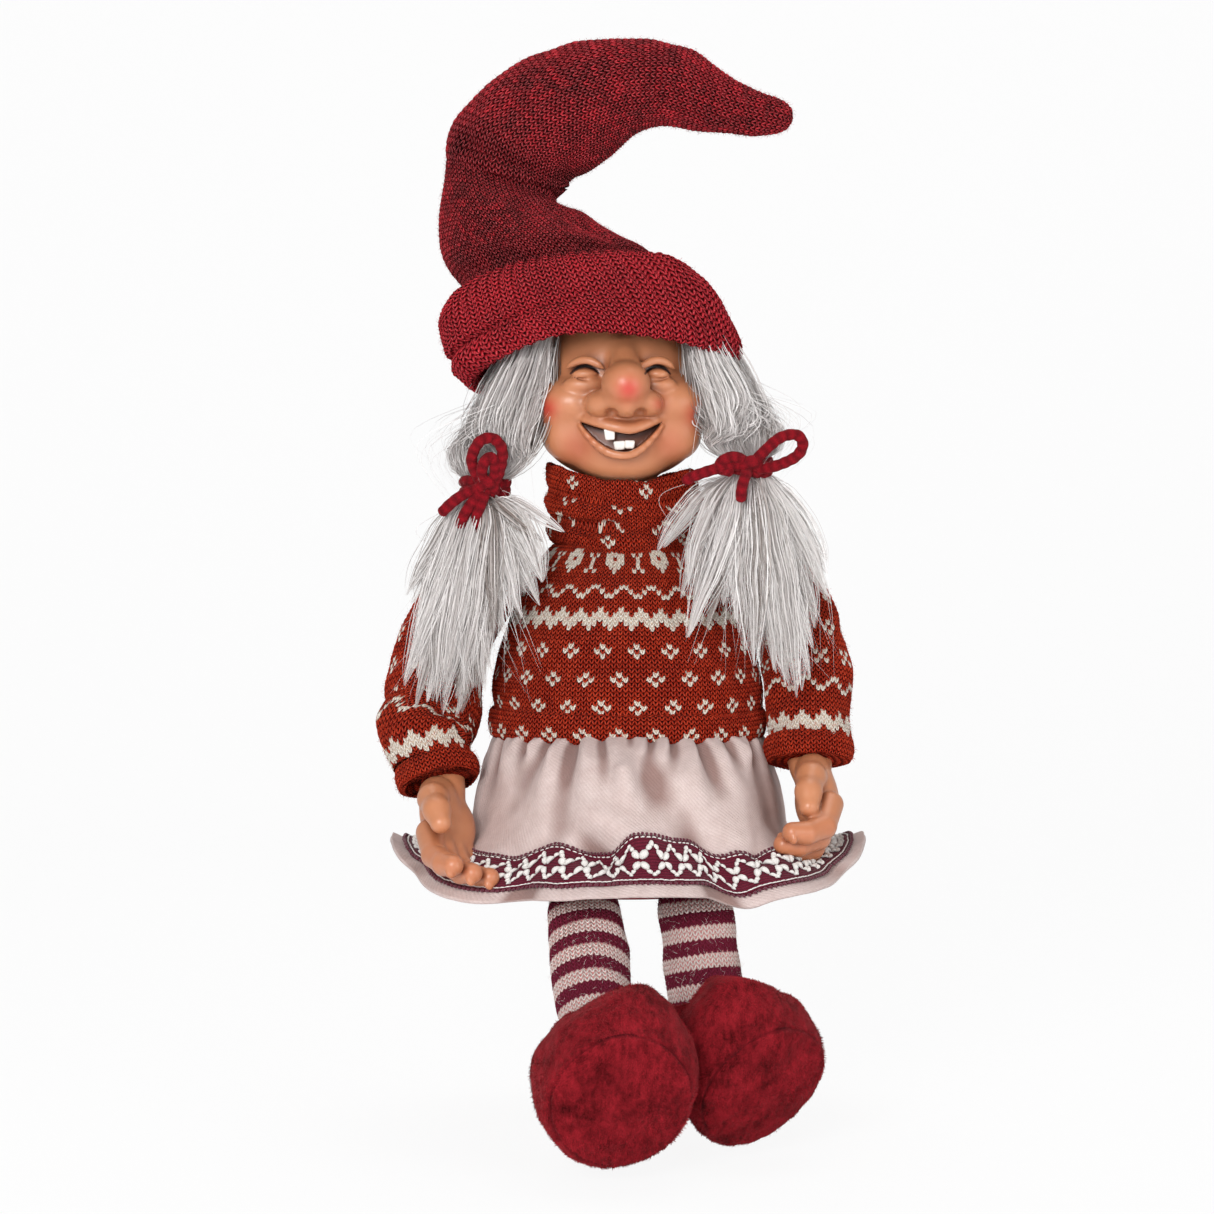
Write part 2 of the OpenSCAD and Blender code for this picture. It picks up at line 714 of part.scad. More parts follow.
module pigtail_left() pigtail(pigtail_left_rows, tie_left_x, tie_left_z);
module pigtail_right() pigtail(pigtail_right_rows, tie_right_x, tie_right_z);

YARN_N = 6;
// Yarn swept along points, standing off the tie by the given offset
module yarn(points, at) {
    skin(swept_rings([for (p = curve(points, 3)) [each (at + p), yarn_d / 2, yarn_d / 2]], YARN_N));
}

module yarn_ring(at) {
    translate(at)
        rotate_extrude($fn = 48)
            translate([tie_hair_r + ease + yarn_d / 2, 0])
                circle(d = yarn_d, $fn = 16);
}

// The loop and ends start at the knot, on the front of the ring
module tie_left() {
    at = [tie_left_x, TIE_Y, tie_left_z];
    knot_y = -tie_hair_r - yarn_d / 2;
    color("crimson") {
        yarn_ring(at);
        yarn([[1, knot_y, 0], [-5, knot_y - 5, 9], [-2, knot_y - 7, 18], [5, knot_y - 7, 19],
            [8, knot_y - 6, 10], [5, knot_y - 2, 2]], at);
        yarn([[0, knot_y, 0], [-7, knot_y - 6, -2], [-15, knot_y - 9, -6], [-20, knot_y - 9, -13]], at);
    }
}

module tie_right() {
    at = [tie_right_x, TIE_Y, tie_right_z];
    knot_y = -tie_hair_r - yarn_d / 2;
    color("crimson") {
        yarn_ring(at);
        yarn([[0, knot_y, 0], [6, knot_y - 5, 8], [14, knot_y - 7, 14], [20, knot_y - 7, 11],
            [19, knot_y - 6, 4], [8, knot_y - 3, 0]], at);
        yarn([[0, knot_y, 0], [-9, knot_y - 6, 1], [-19, knot_y - 9, -3], [-27, knot_y - 9, -7]], at);
        yarn([[0, knot_y, 0], [-1, knot_y - 7, -4], [-3, knot_y - 12, -12]], at);
    }
}

// ---- Hat ----

HAT_N = 28;
// The head's top and the wig cap stay inside the hat: a ring that they would reach through on the
// right is moved and widened by half of what it lacks
hat_wall = brim_t + hat_t + CAP_T + 4 * ease;
function over_head(r) =
    let (
        right_z = r[2] + r[3] * sin(r[5]) - 5,
        lack = max(0, head_x + head_half_w(right_z) + hat_wall - r[0] - r[3]) / 2
    )
    [r[0] + lack, r[1], r[2], r[3] + lack, r[4], r[5], r[6]];
// Brim rows [x, y, z, half-width, half-depth, lean, tilt] from the lower edge up
brim_rows = [for (r = [
    [-10, 0, brim_z, brim_w / 2, brim_d / 2, 5.5, 14],
    [-16, 0, brim_z + 0.32 * brim_h, brim_w / 2 + 1.5, brim_d / 2 + 1.5, 6, 15],
    [-20, 0, brim_z + 0.6 * brim_h, brim_w / 2, brim_d / 2 - 1, 7, 16],
    [-24, 1, brim_z + 0.86 * brim_h, brim_w / 2 - 5, brim_d / 2 - 4.5, 8, 17],
    [-24.5, 1.5, brim_z + brim_h, brim_w / 2 - 8.5, brim_d / 2 - 7, 8, 17]
]) over_head(r)];
brim_grid = leaning_rings(brim_rows, HAT_N);

module hat_cuff() {
    color("darkred")
        tube_cloth(brim_grid, brim_t);
}

// The crown and tail keep their shape as the brim's width and the hat's rise change. Their rows are
// [x, y, rise, half-width, half-depth, lean, tilt], drawn for a brim 116 wide and a rise of 137.
hat_wide = brim_w / 116;
hat_tall = hat_h / 137;
// The crown rises from the brim, or from this far below the head's top where the brim sits lower
CROWN_DROP = 31;
crown_z = max(brim_z, head_top_z - CROWN_DROP);
function hat_row(r) =
    [r[0] * hat_wide, r[1], crown_z + r[2] * hat_tall, r[3] * hat_wide, r[4] * hat_wide, r[5], r[6]];
fold_row = hat_row([-49, 0, 80.5, 27.5, 24, -12, 0]);
fold_out = [sin(-fold_row[5]), 0, cos(fold_row[5])];
// The fold's row moved along its slope
function fold_side(d) =
    [fold_row[0] + d * fold_out[0], 0, fold_row[2] + d * fold_out[2], each [for (i = [3:6]) fold_row[i]]];
crown_grid = concat(
    offset_grid(brim_grid, -brim_t - ease),
    leaning_rings([
        each [for (r = [
            [-30, 0, 42.3, 44, 41.5, 5, 13],
            [-37, 0, 50.9, 41, 37, 0, 9],
            [-44, 0, 62.3, 34.5, 31.5, -5, 5],
            [-48, 0, 72.3, 29.5, 27, -9, 2]]) hat_row(r)],
        fold_side(-fold_gap / 2)
    ], HAT_N));

module hat_crown() {
    color("darkred")
        tube_cloth(crown_grid, hat_t);
}

// The stuffing rests on the top of the wig cap
FILL_FROM = 5;
crown_fill_grid = offset_grid(crown_grid, -hat_t - ease);
hat_rest_z = head_top_z + CAP_T + 4 * ease;

module hat_fill() {
    color("white")
        skin([
            ring([head_x, 0, hat_rest_z], X, Y, 12, 12, HAT_N),
            each [for (j = [FILL_FROM:len(crown_grid) - 1]) crown_fill_grid[j]]
        ]);
}

tail_grid = leaning_rings(curve([
    fold_side(fold_gap / 2),
    each [for (r = [
        [-45.5, 0, 92, 28.5, 24, -27, 0],
        [-37.5, 0, 100, 27.5, 24, -40, 0],
        [-25, 0, 108, 26, 23, -52, 0],
        [-11.5, 0, 114, 23, 21.5, -69, 0],
        [3, 0, 117.5, 19.5, 19, -84, 0],
        [18.5, 0, 117.5, 16.3, 16, -101, 0],
        [35, 0, 112, 12.6, 12.4, -104, 0],
        [50, 0, 107.3, 10, 9.8, -103, 0],
        [62, 0, 105, 7, 7, -103, 0],
        [68, 0, 103.7, 2.5, 2.5, -103, 0]]) hat_row(r)]
], 1), HAT_N);

module hat_tail() {
    color("darkred")
        bag_cloth(tail_grid, hat_t);
}

tail_fill_grid = offset_grid(tail_grid, -hat_t - ease);

module hat_tail_fill() {
    color("white")
        skin([for (j = [0:len(tail_grid) - 3]) tail_fill_grid[j]]);
}

// ---- Arms ----

SLEEVE_N = 18;
ARM_Y = 2;
pivot_z = shoulder_z + 4;
// The shoulder ball clears the sweater where it is widest beside the ball
pivot_x = sweater_half_w(pivot_z - 8) + shoulder_r + ease;
left_elbow_x = -(sweater_w / 2 + elbow_r + 5);
right_elbow_x = sweater_w / 2 + wrist_r + 2;
CUFF_LEFT = [-78, -28, cuff_left_z];
CUFF_RIGHT = [right_elbow_x, -18, cuff_right_z];

// Middle of an arm from the lower edge of its cuff band up to the shoulder: rows of
// [x, y, z, half-width, half-depth]. The band and the start of the sleeve share one straight line.
CUFF_ROWS = 3;
function arm_rows(start, toward, r, rest, shoulder_x) =
    let (d = unit(toward - start))
    [
        each [for (k = [[0, 0], [cuff_h / 2, 1.4], [cuff_h, 0.8], [cuff_h + ease, 0], [cuff_h + 6, 0.5]])
            [each (start + k[0] * d), r + k[1], r + k[1]]],
        each rest,
        each [for (a = [0, 30, 55, 78])
            [shoulder_x, ARM_Y, pivot_z + shoulder_r * sin(a), shoulder_r * cos(a), shoulder_r * cos(a)]]
    ];
LEFT_TOWARD = [left_elbow_x, -15, cuff_left_z + 26];
RIGHT_TOWARD = [right_elbow_x, -9, cuff_right_z + 26];
left_arm_rings = swept_rings(arm_rows(CUFF_LEFT, LEFT_TOWARD, wrist_r, [
    [each LEFT_TOWARD, elbow_r - 0.3, elbow_r - 0.3],
    [left_elbow_x, -6, 90, elbow_r, elbow_r],
    [lerp(left_elbow_x, -pivot_x, 0.5), -0.5, 109, elbow_r - 1, elbow_r - 1],
    [lerp(left_elbow_x, -pivot_x, 0.92), ARM_Y, pivot_z - 8, shoulder_r, shoulder_r]
], -pivot_x), SLEEVE_N);
right_arm_rings = swept_rings(arm_rows(CUFF_RIGHT, RIGHT_TOWARD, wrist_r, [
    [each RIGHT_TOWARD, wrist_r + 0.6, wrist_r + 0.6],
    [right_elbow_x, -3, 98, wrist_r + 0.8, wrist_r + 0.8],
    [lerp(right_elbow_x, pivot_x, 0.8), ARM_Y, pivot_z - 11, shoulder_r, shoulder_r]
], pivot_x), SLEEVE_N);

module sleeve(rings) {
    color("firebrick")
        bag_cloth([for (j = [CUFF_ROWS:len(rings) - 1]) rings[j]], knit_t);
}

// The stuffing ends short of the closed tip of the ball
module arm_fill(rings) {
    grid = offset_grid([for (j = [CUFF_ROWS:len(rings) - 1]) rings[j]], -knit_t - ease);
    color("white")
        skin([for (j = [0:len(grid) - 3]) grid[j]]);
}

module cuff(rings) {
    color("firebrick")
        tube_cloth([for (j = [0:CUFF_ROWS - 1]) rings[j]], knit_t);
}

module sleeve_left() sleeve(left_arm_rings);
module sleeve_right() sleeve(right_arm_rings);
module arm_fill_left() arm_fill(left_arm_rings);
module arm_fill_right() arm_fill(right_arm_rings);
module cuff_left() cuff(left_arm_rings);
module cuff_right() cuff(right_arm_rings);

// Rounded link between two points, with a radius at each
module link(a, b, ra, rb) {
    hull() {
        translate(a) sphere(r = ra, $fn = 8);
        translate(b) sphere(r = rb, $fn = 8);
    }
}

// Vinyl wrist inside a cuff band, from the hand up to the stuffing of the arm
module wrist(start, toward) {
    d = unit(toward - start);
    side = unit(cross(Y, d));
    color("burlywood")
        skin([for (z = [-2, cuff_h / 2, cuff_h])
            ring(start + z * d, side, cross(d, side), hand_wrist_r, hand_wrist_r, 16)]);
}

PALM_W = 22;
PALM_L = 28;
FINGER_L = 15;
// Hand hanging from its wrist: fingers down, thumb towards -Y, palm towards +X. curl bends the
// fingers towards the palm.
module hand(curl) {
    knuckle_z = -PALM_L;
    color("burlywood") {
        hull()
            for (y = [-1, 1]) {
                translate([0, y * 3, -1]) sphere(r = hand_wrist_r - 3, $fn = 10);
                translate([0, y * (PALM_W / 2 - finger_r - 1), knuckle_z * 0.55]) sphere(r = 6, $fn = 10);
                translate([0, y * (PALM_W / 2 - finger_r), knuckle_z]) sphere(r = finger_r + 0.8, $fn = 8);
            }
        for (k = [0:3]) {
            y = lerp(-1, 1, k / 3) * (PALM_W / 2 - finger_r + 0.5);
            short = k == 0 ? 0 : k == 3 ? 3 : 0.5;
            knuckle = [0, y, knuckle_z];
            middle = knuckle + (FINGER_L - short) * [sin(curl), 0, -cos(curl)];
            tip = middle + (FINGER_L - short - 4) * [sin(2 * curl), 0, -cos(2 * curl)];
            link(knuckle, middle, finger_r + 0.2, finger_r);
            link(middle, tip, finger_r, finger_r - 0.6);
        }
        link([2, -6, -8], [6, -12, -16], finger_r + 0.8, finger_r);
        link([6, -12, -16], [10, -13, -26], finger_r, finger_r - 0.5);
    }
}

// Turn of each hand about X, then Y, then Z, and the bend of its fingers
LEFT_HAND = [-59, -4, 0];
LEFT_CURL = 26;
RIGHT_HAND = [-50, -4, 12];
RIGHT_CURL = 50;

module hand_left() {
    wrist(CUFF_LEFT, LEFT_TOWARD);
    translate(CUFF_LEFT) rotate(LEFT_HAND) hand(LEFT_CURL);
}

module hand_right() {
    wrist(CUFF_RIGHT, RIGHT_TOWARD);
    translate(CUFF_RIGHT) rotate(RIGHT_HAND) mirror(X) hand(RIGHT_CURL);
}

// ---- Legs and boots ----

LEG_N = 18;
BOOT_N = 24;
HIP_LEFT = [-19, -hip_d / 2 + 0.4, 6];
HIP_RIGHT = [26, -hip_d / 2 + 2.2, 6];
SOLE_LEFT = [-3.5, -138, -63.5];
SOLE_RIGHT = [53.5, -93, -67];
// Turn and pitch of each boot: which way its sole faces, sideways and downwards
FACE_LEFT = [12, 20];
FACE_RIGHT = [32, 29];

// Directions of a boot: across the sole, towards the heel, and from the sole up to the ankle
function across_dir(face) = [cos(face[0]), sin(face[0]), 0];
function up_dir(face) = [-sin(face[0]) * cos(face[1]), cos(face[0]) * cos(face[1]), sin(face[1])];
function heel_dir(face) = cross(up_dir(face), across_dir(face));
function ankle(sole, face) = sole + boot_h * up_dir(face);

// Leg rows from the ankle up to the seam at the hip, where the knitting is sewn flat
function leg_rings(hip, foot) =
    let (up = unit(hip - foot), side = unit(cross(Y, up)), back = cross(up, side), start = foot - 5 * up)
    [for (row = [[0, 1, 1], [0.15, 1, 1], [0.35, 1.02, 1.02], [0.55, 1.02, 1.02], [0.72, 1.02, 0.98],
            [0.86, 1, 0.7], [1, 0.82, 0.22]])
        ring(lerp(start, hip, row[0]), side, back, leg_r * row[1], leg_r * row[2], LEG_N)];

module leg_cloth(hip, sole, face) {
    color("pink")
        tube_cloth(leg_rings(hip, ankle(sole, face)), leg_t);
}

module leg_fill(hip, sole, face) {
    grid = offset_grid(leg_rings(hip, ankle(sole, face)), -leg_t - ease);
    color("white")
        skin([for (j = [0:len(grid) - 3]) grid[j]]);
}

// Boot rows from the seam of the sole panel up to the ankle opening
function boot_rings(hip, sole, face) =
    let (
        u = across_dir(face),
        v = heel_dir(face),
        w = up_dir(face),
        foot = ankle(sole, face),
        up = unit(hip - foot),
        u2 = unit(u - (u * up) * up),
        v2 = cross(up, u2),
        open_r = leg_r + ease + plush_t
    )
    [
        each [for (row = [
                [0, 0, 0], [0.16, 0.75, -1.5], [0.36, 1, -4.5], [0.56, 0.4, -4.5], [0.74, -1.3, -2.5]])
            ring(sole + row[0] * boot_h * w + row[2] * v, u, v,
                sole_w / 2 + row[1] * boot_bulge, sole_l / 2 + row[1] * boot_bulge, BOOT_N)],
        ring(foot - 3 * up, u2, v2, open_r + 2.2, open_r + 2.2, BOOT_N),
        ring(foot + 2 * up, u2, v2, open_r, open_r, BOOT_N)
    ];

module boot_upper(hip, sole, face) {
    color("crimson")
        tube_cloth(boot_rings(hip, sole, face), plush_t);
}

module boot_sole(sole, face) {
    u = across_dir(face);
    v = heel_dir(face);
    w = up_dir(face);
    color("crimson")
        skin([for (row = [[sole_dome, 0.12], [0.9 * sole_dome, 0.45], [0.55 * sole_dome, 0.8], [ease, 1]])
            ring(sole - row[0] * w, u, v, row[1] * sole_w / 2, row[1] * sole_l / 2, BOOT_N)]);
}

// The stuffing fills the boot below the end of the leg
module boot_fill(hip, sole, face) {
    grid = offset_grid(boot_rings(hip, sole, face), -plush_t - 3 * ease);
    color("white")
        skin([for (j = [0:3]) grid[j]]);
}

module leg_cloth_left() leg_cloth(HIP_LEFT, SOLE_LEFT, FACE_LEFT);
module leg_cloth_right() leg_cloth(HIP_RIGHT, SOLE_RIGHT, FACE_RIGHT);
module leg_fill_left() leg_fill(HIP_LEFT, SOLE_LEFT, FACE_LEFT);
module leg_fill_right() leg_fill(HIP_RIGHT, SOLE_RIGHT, FACE_RIGHT);
module boot_upper_left() boot_upper(HIP_LEFT, SOLE_LEFT, FACE_LEFT);
module boot_upper_right() boot_upper(HIP_RIGHT, SOLE_RIGHT, FACE_RIGHT);
module boot_sole_left() boot_sole(SOLE_LEFT, FACE_LEFT);
module boot_sole_right() boot_sole(SOLE_RIGHT, FACE_RIGHT);
module boot_fill_left() boot_fill(HIP_LEFT, SOLE_LEFT, FACE_LEFT);
module boot_fill_right() boot_fill(HIP_RIGHT, SOLE_RIGHT, FACE_RIGHT);

seat_panel();
torso_cloth();
torso_fill();
pellet_bag();
neck_tie();
sweater_body();
sweater_hem();
sweater_collar();
skirt();
skirt_ribbon();
waist_elastic();
head_shell();
upper_tooth();
lower_teeth();
wig_cap();
hair_left();
hair_right();
hair_back();
tie_left();
tie_right();
pigtail_left();
pigtail_right();
hat_crown();
hat_cuff();
hat_fill();
hat_tail();
hat_tail_fill();
sleeve_left();
cuff_left();
arm_fill_left();
hand_left();
sleeve_right();
cuff_right();
arm_fill_right();
hand_right();
leg_cloth_left();
leg_fill_left();
boot_upper_left();
boot_sole_left();
boot_fill_left();
leg_cloth_right();
leg_fill_right();
boot_upper_right();
boot_sole_right();
boot_fill_right();
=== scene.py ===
"""Looks of the seated gnome doll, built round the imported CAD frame. Shapes are worked out in mm."""

import math

import bpy
import numpy as np
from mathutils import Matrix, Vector


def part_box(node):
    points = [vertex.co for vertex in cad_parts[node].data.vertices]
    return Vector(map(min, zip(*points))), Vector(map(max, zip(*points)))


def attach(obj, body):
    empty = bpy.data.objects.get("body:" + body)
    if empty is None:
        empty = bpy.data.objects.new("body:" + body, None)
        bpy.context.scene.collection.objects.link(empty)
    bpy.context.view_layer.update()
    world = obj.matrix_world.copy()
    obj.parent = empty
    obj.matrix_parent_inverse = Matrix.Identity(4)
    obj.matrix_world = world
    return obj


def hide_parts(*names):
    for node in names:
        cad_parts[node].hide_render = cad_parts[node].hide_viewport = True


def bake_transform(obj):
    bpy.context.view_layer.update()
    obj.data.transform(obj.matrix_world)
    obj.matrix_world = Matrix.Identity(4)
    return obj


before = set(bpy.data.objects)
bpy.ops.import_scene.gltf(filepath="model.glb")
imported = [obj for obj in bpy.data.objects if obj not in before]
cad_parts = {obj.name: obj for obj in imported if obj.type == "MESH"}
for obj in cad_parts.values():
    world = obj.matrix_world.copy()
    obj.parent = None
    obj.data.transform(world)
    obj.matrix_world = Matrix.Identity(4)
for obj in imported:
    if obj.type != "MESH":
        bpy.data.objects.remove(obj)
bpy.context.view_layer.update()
MM = 0.001
TAU = 2 * math.pi
CORNERS = np.array([(k & 1, k >> 1 & 1, k >> 2 & 1) for k in range(8)])
PRIMES = (73856093, 19349663, 83492791)
FRONT = 0.75  # share of the way round a grid at which it faces the camera


# ---------------------------------------------------------------- meshes

def rng(seed):
    """Random numbers that are the same on every run."""
    return np.random.default_rng(seed)


def new_mesh(name, verts, faces):
    """Mesh object from points in mm and a list of face arrays, each with its own corner count. It gets a
    name of its own where a CAD node already has that name."""
    mesh = bpy.data.meshes.new(name)
    mesh.vertices.add(len(verts))
    mesh.vertices.foreach_set("co", (np.asarray(verts) * MM).astype(np.float32).ravel())
    sizes = np.concatenate([np.full(len(f), f.shape[1]) for f in faces])
    corners = np.concatenate([np.asarray(f).ravel() for f in faces]).astype(np.int32)
    mesh.loops.add(len(corners))
    mesh.loops.foreach_set("vertex_index", corners)
    mesh.polygons.add(len(sizes))
    mesh.polygons.foreach_set("loop_start", np.concatenate([[0], np.cumsum(sizes)[:-1]]).astype(np.int32))
    mesh.polygons.foreach_set("loop_total", sizes.astype(np.int32))
    mesh.update(calc_edges=True)
    mesh.validate()
    mesh.polygons.foreach_set("use_smooth", np.ones(len(mesh.polygons), bool))
    piece = bpy.data.objects.new(name + "_look" if name in bpy.data.objects else name, mesh)
    bpy.context.scene.collection.objects.link(piece)
    return piece


def paint(piece, name, values):
    """Stores three numbers per vertex as a colour attribute."""
    data = np.ones((len(values), 4), dtype=np.float32)
    data[:, :3] = values
    layer = piece.data.color_attributes.new(name=name, type="FLOAT_COLOR", domain="POINT")
    layer.data.foreach_set("color", data.ravel())


def finish_piece(piece, material, body, nodes=()):
    """Material, slot, the body it rides on (None where it is attached or baked in place later) and the nodes
    it stands for.
    """
    piece.data.materials.append(material)
    if body:
        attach(piece, body)
    if nodes:
        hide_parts(*nodes)
    return piece


def even_out(piece):
    """Takes the steps out of a surface made on a grid."""
    smooth = piece.modifiers.new("even", "SMOOTH")
    smooth.factor, smooth.iterations = 0.5, 3


def join_arrays(parts):
    """One set of points, faces and colours from several (points, [faces], colours)."""
    verts, faces, colours, start = [], {}, [], 0
    for points, face_list, colour in parts:
        verts.append(points)
        colours.append(colour)
        for f in face_list:
            faces.setdefault(f.shape[1], []).append(f + start)
        start += len(points)
    return np.concatenate(verts), [np.concatenate(f) for f in faces.values()], np.concatenate(colours)


def grid_quads(rows, columns, wrap=True):
    """Quads between the points of a grid, which closes on itself round its columns if it wraps."""
    j, i = np.meshgrid(np.arange(rows - 1), np.arange(columns if wrap else columns - 1), indexing="ij")
    k = (i + 1) % columns
    quads = np.stack([j * columns + i, j * columns + k, (j + 1) * columns + k, (j + 1) * columns + i], -1)
    return quads.reshape(-1, 4)


def unit(v):
    """Vectors scaled to length 1."""
    return v / np.maximum(np.linalg.norm(v, axis=-1, keepdims=True), 1e-9)


def smooth_rows(stations, t):
    """Catmull-Rom curve through stations at parameters t, counted in stations."""
    s = np.asarray(stations, float)
    last = len(s) - 1
    i = np.clip(np.floor(t).astype(int), 0, last - 1)
    f = (t - i)[:, None]
    p0, p1, p2, p3 = s[np.maximum(i - 1, 0)], s[i], s[i + 1], s[np.minimum(i + 2, last)]
    return 0.5 * (2 * p1 + (p2 - p0) * f + (2 * p0 - 5 * p1 + 4 * p2 - p3) * f**2
                  + (3 * p1 - p0 - 3 * p2 + p3) * f**3)


def even_rows(stations, count, place=3):
    """Stations resampled evenly along the length of their first `place` numbers."""
    t = np.linspace(0, len(stations) - 1, 40 * len(stations))
    rows = smooth_rows(stations, t)
    length = np.concatenate([[0], np.cumsum(np.linalg.norm(np.diff(rows[:, :place], axis=0), axis=1))])
    where = np.interp(np.linspace(0, length[-1], count), length, t)
    return smooth_rows(stations, where), length[-1]


def rings(centres, across, deep, a, b, columns):
    """Grid of oval rings: half-widths a along `across` and b along `deep`."""
    angle = TAU * np.arange(columns) / columns
    c, s = np.cos(angle)[None, :, None], np.sin(angle)[None, :, None]
    return centres[:, None] + a[:, None, None] * c * across[:, None] + b[:, None, None] * s * deep[:, None]


def leaning_rings(rows, columns):
    """Rings for rows of x, y, z, half-width, half-depth, lean, tilt."""
    lean, tilt = np.radians(rows[:, 5]), np.radians(rows[:, 6])
    zero = np.zeros(len(rows))
    across = np.stack([np.cos(lean), zero, np.sin(lean)], 1)
    deep = np.stack([zero, np.cos(tilt), -np.sin(tilt)], 1)
    return rings(rows[:, :3], across, deep, rows[:, 3], rows[:, 4], columns)


def swept_rings(rows, columns):
    """Rings square to a path for rows of x, y, z, half-width, half-depth."""
    t = unit(np.gradient(rows[:, :3], axis=0))
    across = unit(np.cross([0, 1, 0], t))
    deep = np.cross(t, across)
    return rings(rows[:, :3], across, deep, rows[:, 3], rows[:, 4], columns)


def grid_normals(grid):
    """Normals of a grid that wraps round its columns."""
    du = np.roll(grid, -1, axis=1) - np.roll(grid, 1, axis=1)
    dv = np.gradient(grid, axis=0)
    return unit(np.cross(du, dv))


def scramble(h):
    """Whole numbers turned into random ones from 0 to 65535."""
    h = (h ^ (h >> 13)) * 1274126177
    return (h ^ (h >> 16)) & 65535


def noise3(points, scale, seed, octaves=2):
    """Smooth value noise of about -1 to 1 at points, with features about `scale` mm wide."""
    total = np.zeros(points.shape[:-1])
    weight = 1.0
    for k in range(octaves):
        q = points / scale * 2**k + 17.3 * seed
        cell = np.floor(q).astype(np.int64)
        f = q - cell
        f = f * f * (3 - 2 * f)
        value = np.zeros(points.shape[:-1])
        for o in CORNERS:
            c = (cell + o) * PRIMES
            r = scramble(c[..., 0] ^ c[..., 1] ^ c[..., 2] ^ (seed * 2654435)) / 32767.5 - 1
            value += r * np.prod(np.where(o, f, 1 - f), axis=-1)
        total += weight * value
        weight *= 0.5
    return total


# ---------------------------------------------------------------- distance fields

class Field:
    """Distance field on a regular grid, in mm, for shapes that melt into each other."""

    def __init__(self, low, high, step):
        self.low, self.step = np.array(low, float), step
        self.axes = [np.arange(a, b + step, step, dtype=np.float32) for a, b in zip(low, high)]
        self.x, self.y, self.z = np.meshgrid(*self.axes, indexing="ij", sparse=True)
        self.d = np.full([len(a) for a in self.axes], 1e3, dtype=np.float32)

    def ellipsoid(self, c, r):
        x, y, z = self.x - c[0], self.y - c[1], self.z - c[2]
        k0 = np.sqrt((x / r[0])**2 + (y / r[1])**2 + (z / r[2])**2)
        k1 = np.sqrt((x / r[0]**2)**2 + (y / r[1]**2)**2 + (z / r[2]**2)**2)
        return k0 * (k0 - 1) / np.maximum(k1, 1e-6)

    def capsule(self, a, b, ra, rb):
        """Rounded rod from a to b whose radius goes from ra to rb."""
        a, b = np.array(a, float), np.array(b, float)
        n = b - a
        t = ((self.x - a[0]) * n[0] + (self.y - a[1]) * n[1] + (self.z - a[2]) * n[2]) / (n @ n)
        t = np.clip(t, 0, 1)
        x, y, z = self.x - a[0] - t * n[0], self.y - a[1] - t * n[1], self.z - a[2] - t * n[2]
        return np.sqrt(x**2 + y**2 + z**2) - (ra + (rb - ra) * t)

    def add(self, d, soft):
        """Melts a shape onto the body."""
        h = np.clip(0.5 + 0.5 * (self.d - d) / soft, 0, 1)
        self.d = (self.d * (1 - h) + d * h - soft * h * (1 - h)).astype(np.float32)

    def cut(self, d, soft):
        """Takes a shape away, with a soft edge."""
        h = np.clip(0.5 - 0.5 * (self.d + d) / soft, 0, 1)
        self.d = (self.d * (1 - h) - d * h + soft * h * (1 - h)).astype(np.float32)

    def at(self, points):
        """Distance at any points."""
        q = (points - self.low) / self.step
        i = np.clip(np.floor(q).astype(int), 0, np.array(self.d.shape) - 2)
        f = np.clip(q - i, 0, 1)
        out = np.zeros(len(points))
        for o in CORNERS:
            w = np.prod(np.where(o, f, 1 - f), axis=1)
            out += w * self.d[i[:, 0] + o[0], i[:, 1] + o[1], i[:, 2] + o[2]]
        return out

    def surface(self):
        """Points and quads of the zero surface, by surface nets."""
        d = self.d
        inside = d < 0
        shape = np.array(d.shape) - 1
        total, count = np.zeros([*shape, 3], np.float32), np.zeros(shape, np.int8)
        corner = [slice(None, -1), slice(1, None)]
        edges = []
        for axis in range(3):
            others = [k for k in range(3) if k != axis]
            lo, hi = [slice(None)] * 3, [slice(None)] * 3
            lo[axis], hi[axis] = corner[0], corner[1]
            a, b = d[tuple(lo)], d[tuple(hi)]
            cross = inside[tuple(lo)] != inside[tuple(hi)]
            t = np.where(cross, a / np.where(cross, a - b, 1), 0).astype(np.float32)
            edges.append((axis, cross, inside[tuple(lo)]))
            for p in (0, 1):
                for q in (0, 1):
                    s = [slice(None)] * 3
                    s[others[0]], s[others[1]] = corner[p], corner[q]
                    c = cross[tuple(s)]
                    count += c
                    total[..., axis] += np.where(c, t[tuple(s)], 0)
                    total[..., others[0]] += np.where(c, p, 0)
                    total[..., others[1]] += np.where(c, q, 0)
        used = count > 0
        index = np.full(shape, -1, np.int64)
        index[used] = np.arange(used.sum())
        cells = np.argwhere(used)
        points = self.low + (cells + total[used] / count[used][:, None]) * self.step
        quads = []
        for axis, cross, start_inside in edges:
            u, v = (axis + 1) % 3, (axis + 2) % 3
            s = [slice(None)] * 3
            s[u] = s[v] = slice(1, -1)
            where = np.argwhere(cross[tuple(s)])
            where[:, u] += 1
            where[:, v] += 1
            du, dv = np.eye(3, dtype=int)[u], np.eye(3, dtype=int)[v]
            loop = np.stack([index[tuple((where - o).T)] for o in (du * 0, du, du + dv, dv)], 1)
            flip = start_inside[tuple(where.T)]
            loop[~flip] = loop[~flip][:, ::-1]
            quads.append(loop)
        quads = np.concatenate(quads)
        return points, quads[(quads >= 0).all(axis=1)]

    def normals(self, points):
        e = self.step
        return unit(np.stack([self.at(points + e * o) - self.at(points - e * o) for o in np.eye(3)], 1))

    def hollow(self, points, normals, reach):
        """How hollow the surface is within a reach, from 0 to 1."""
        return np.clip(1 - self.at(points + reach * normals) / reach, 0, 1)


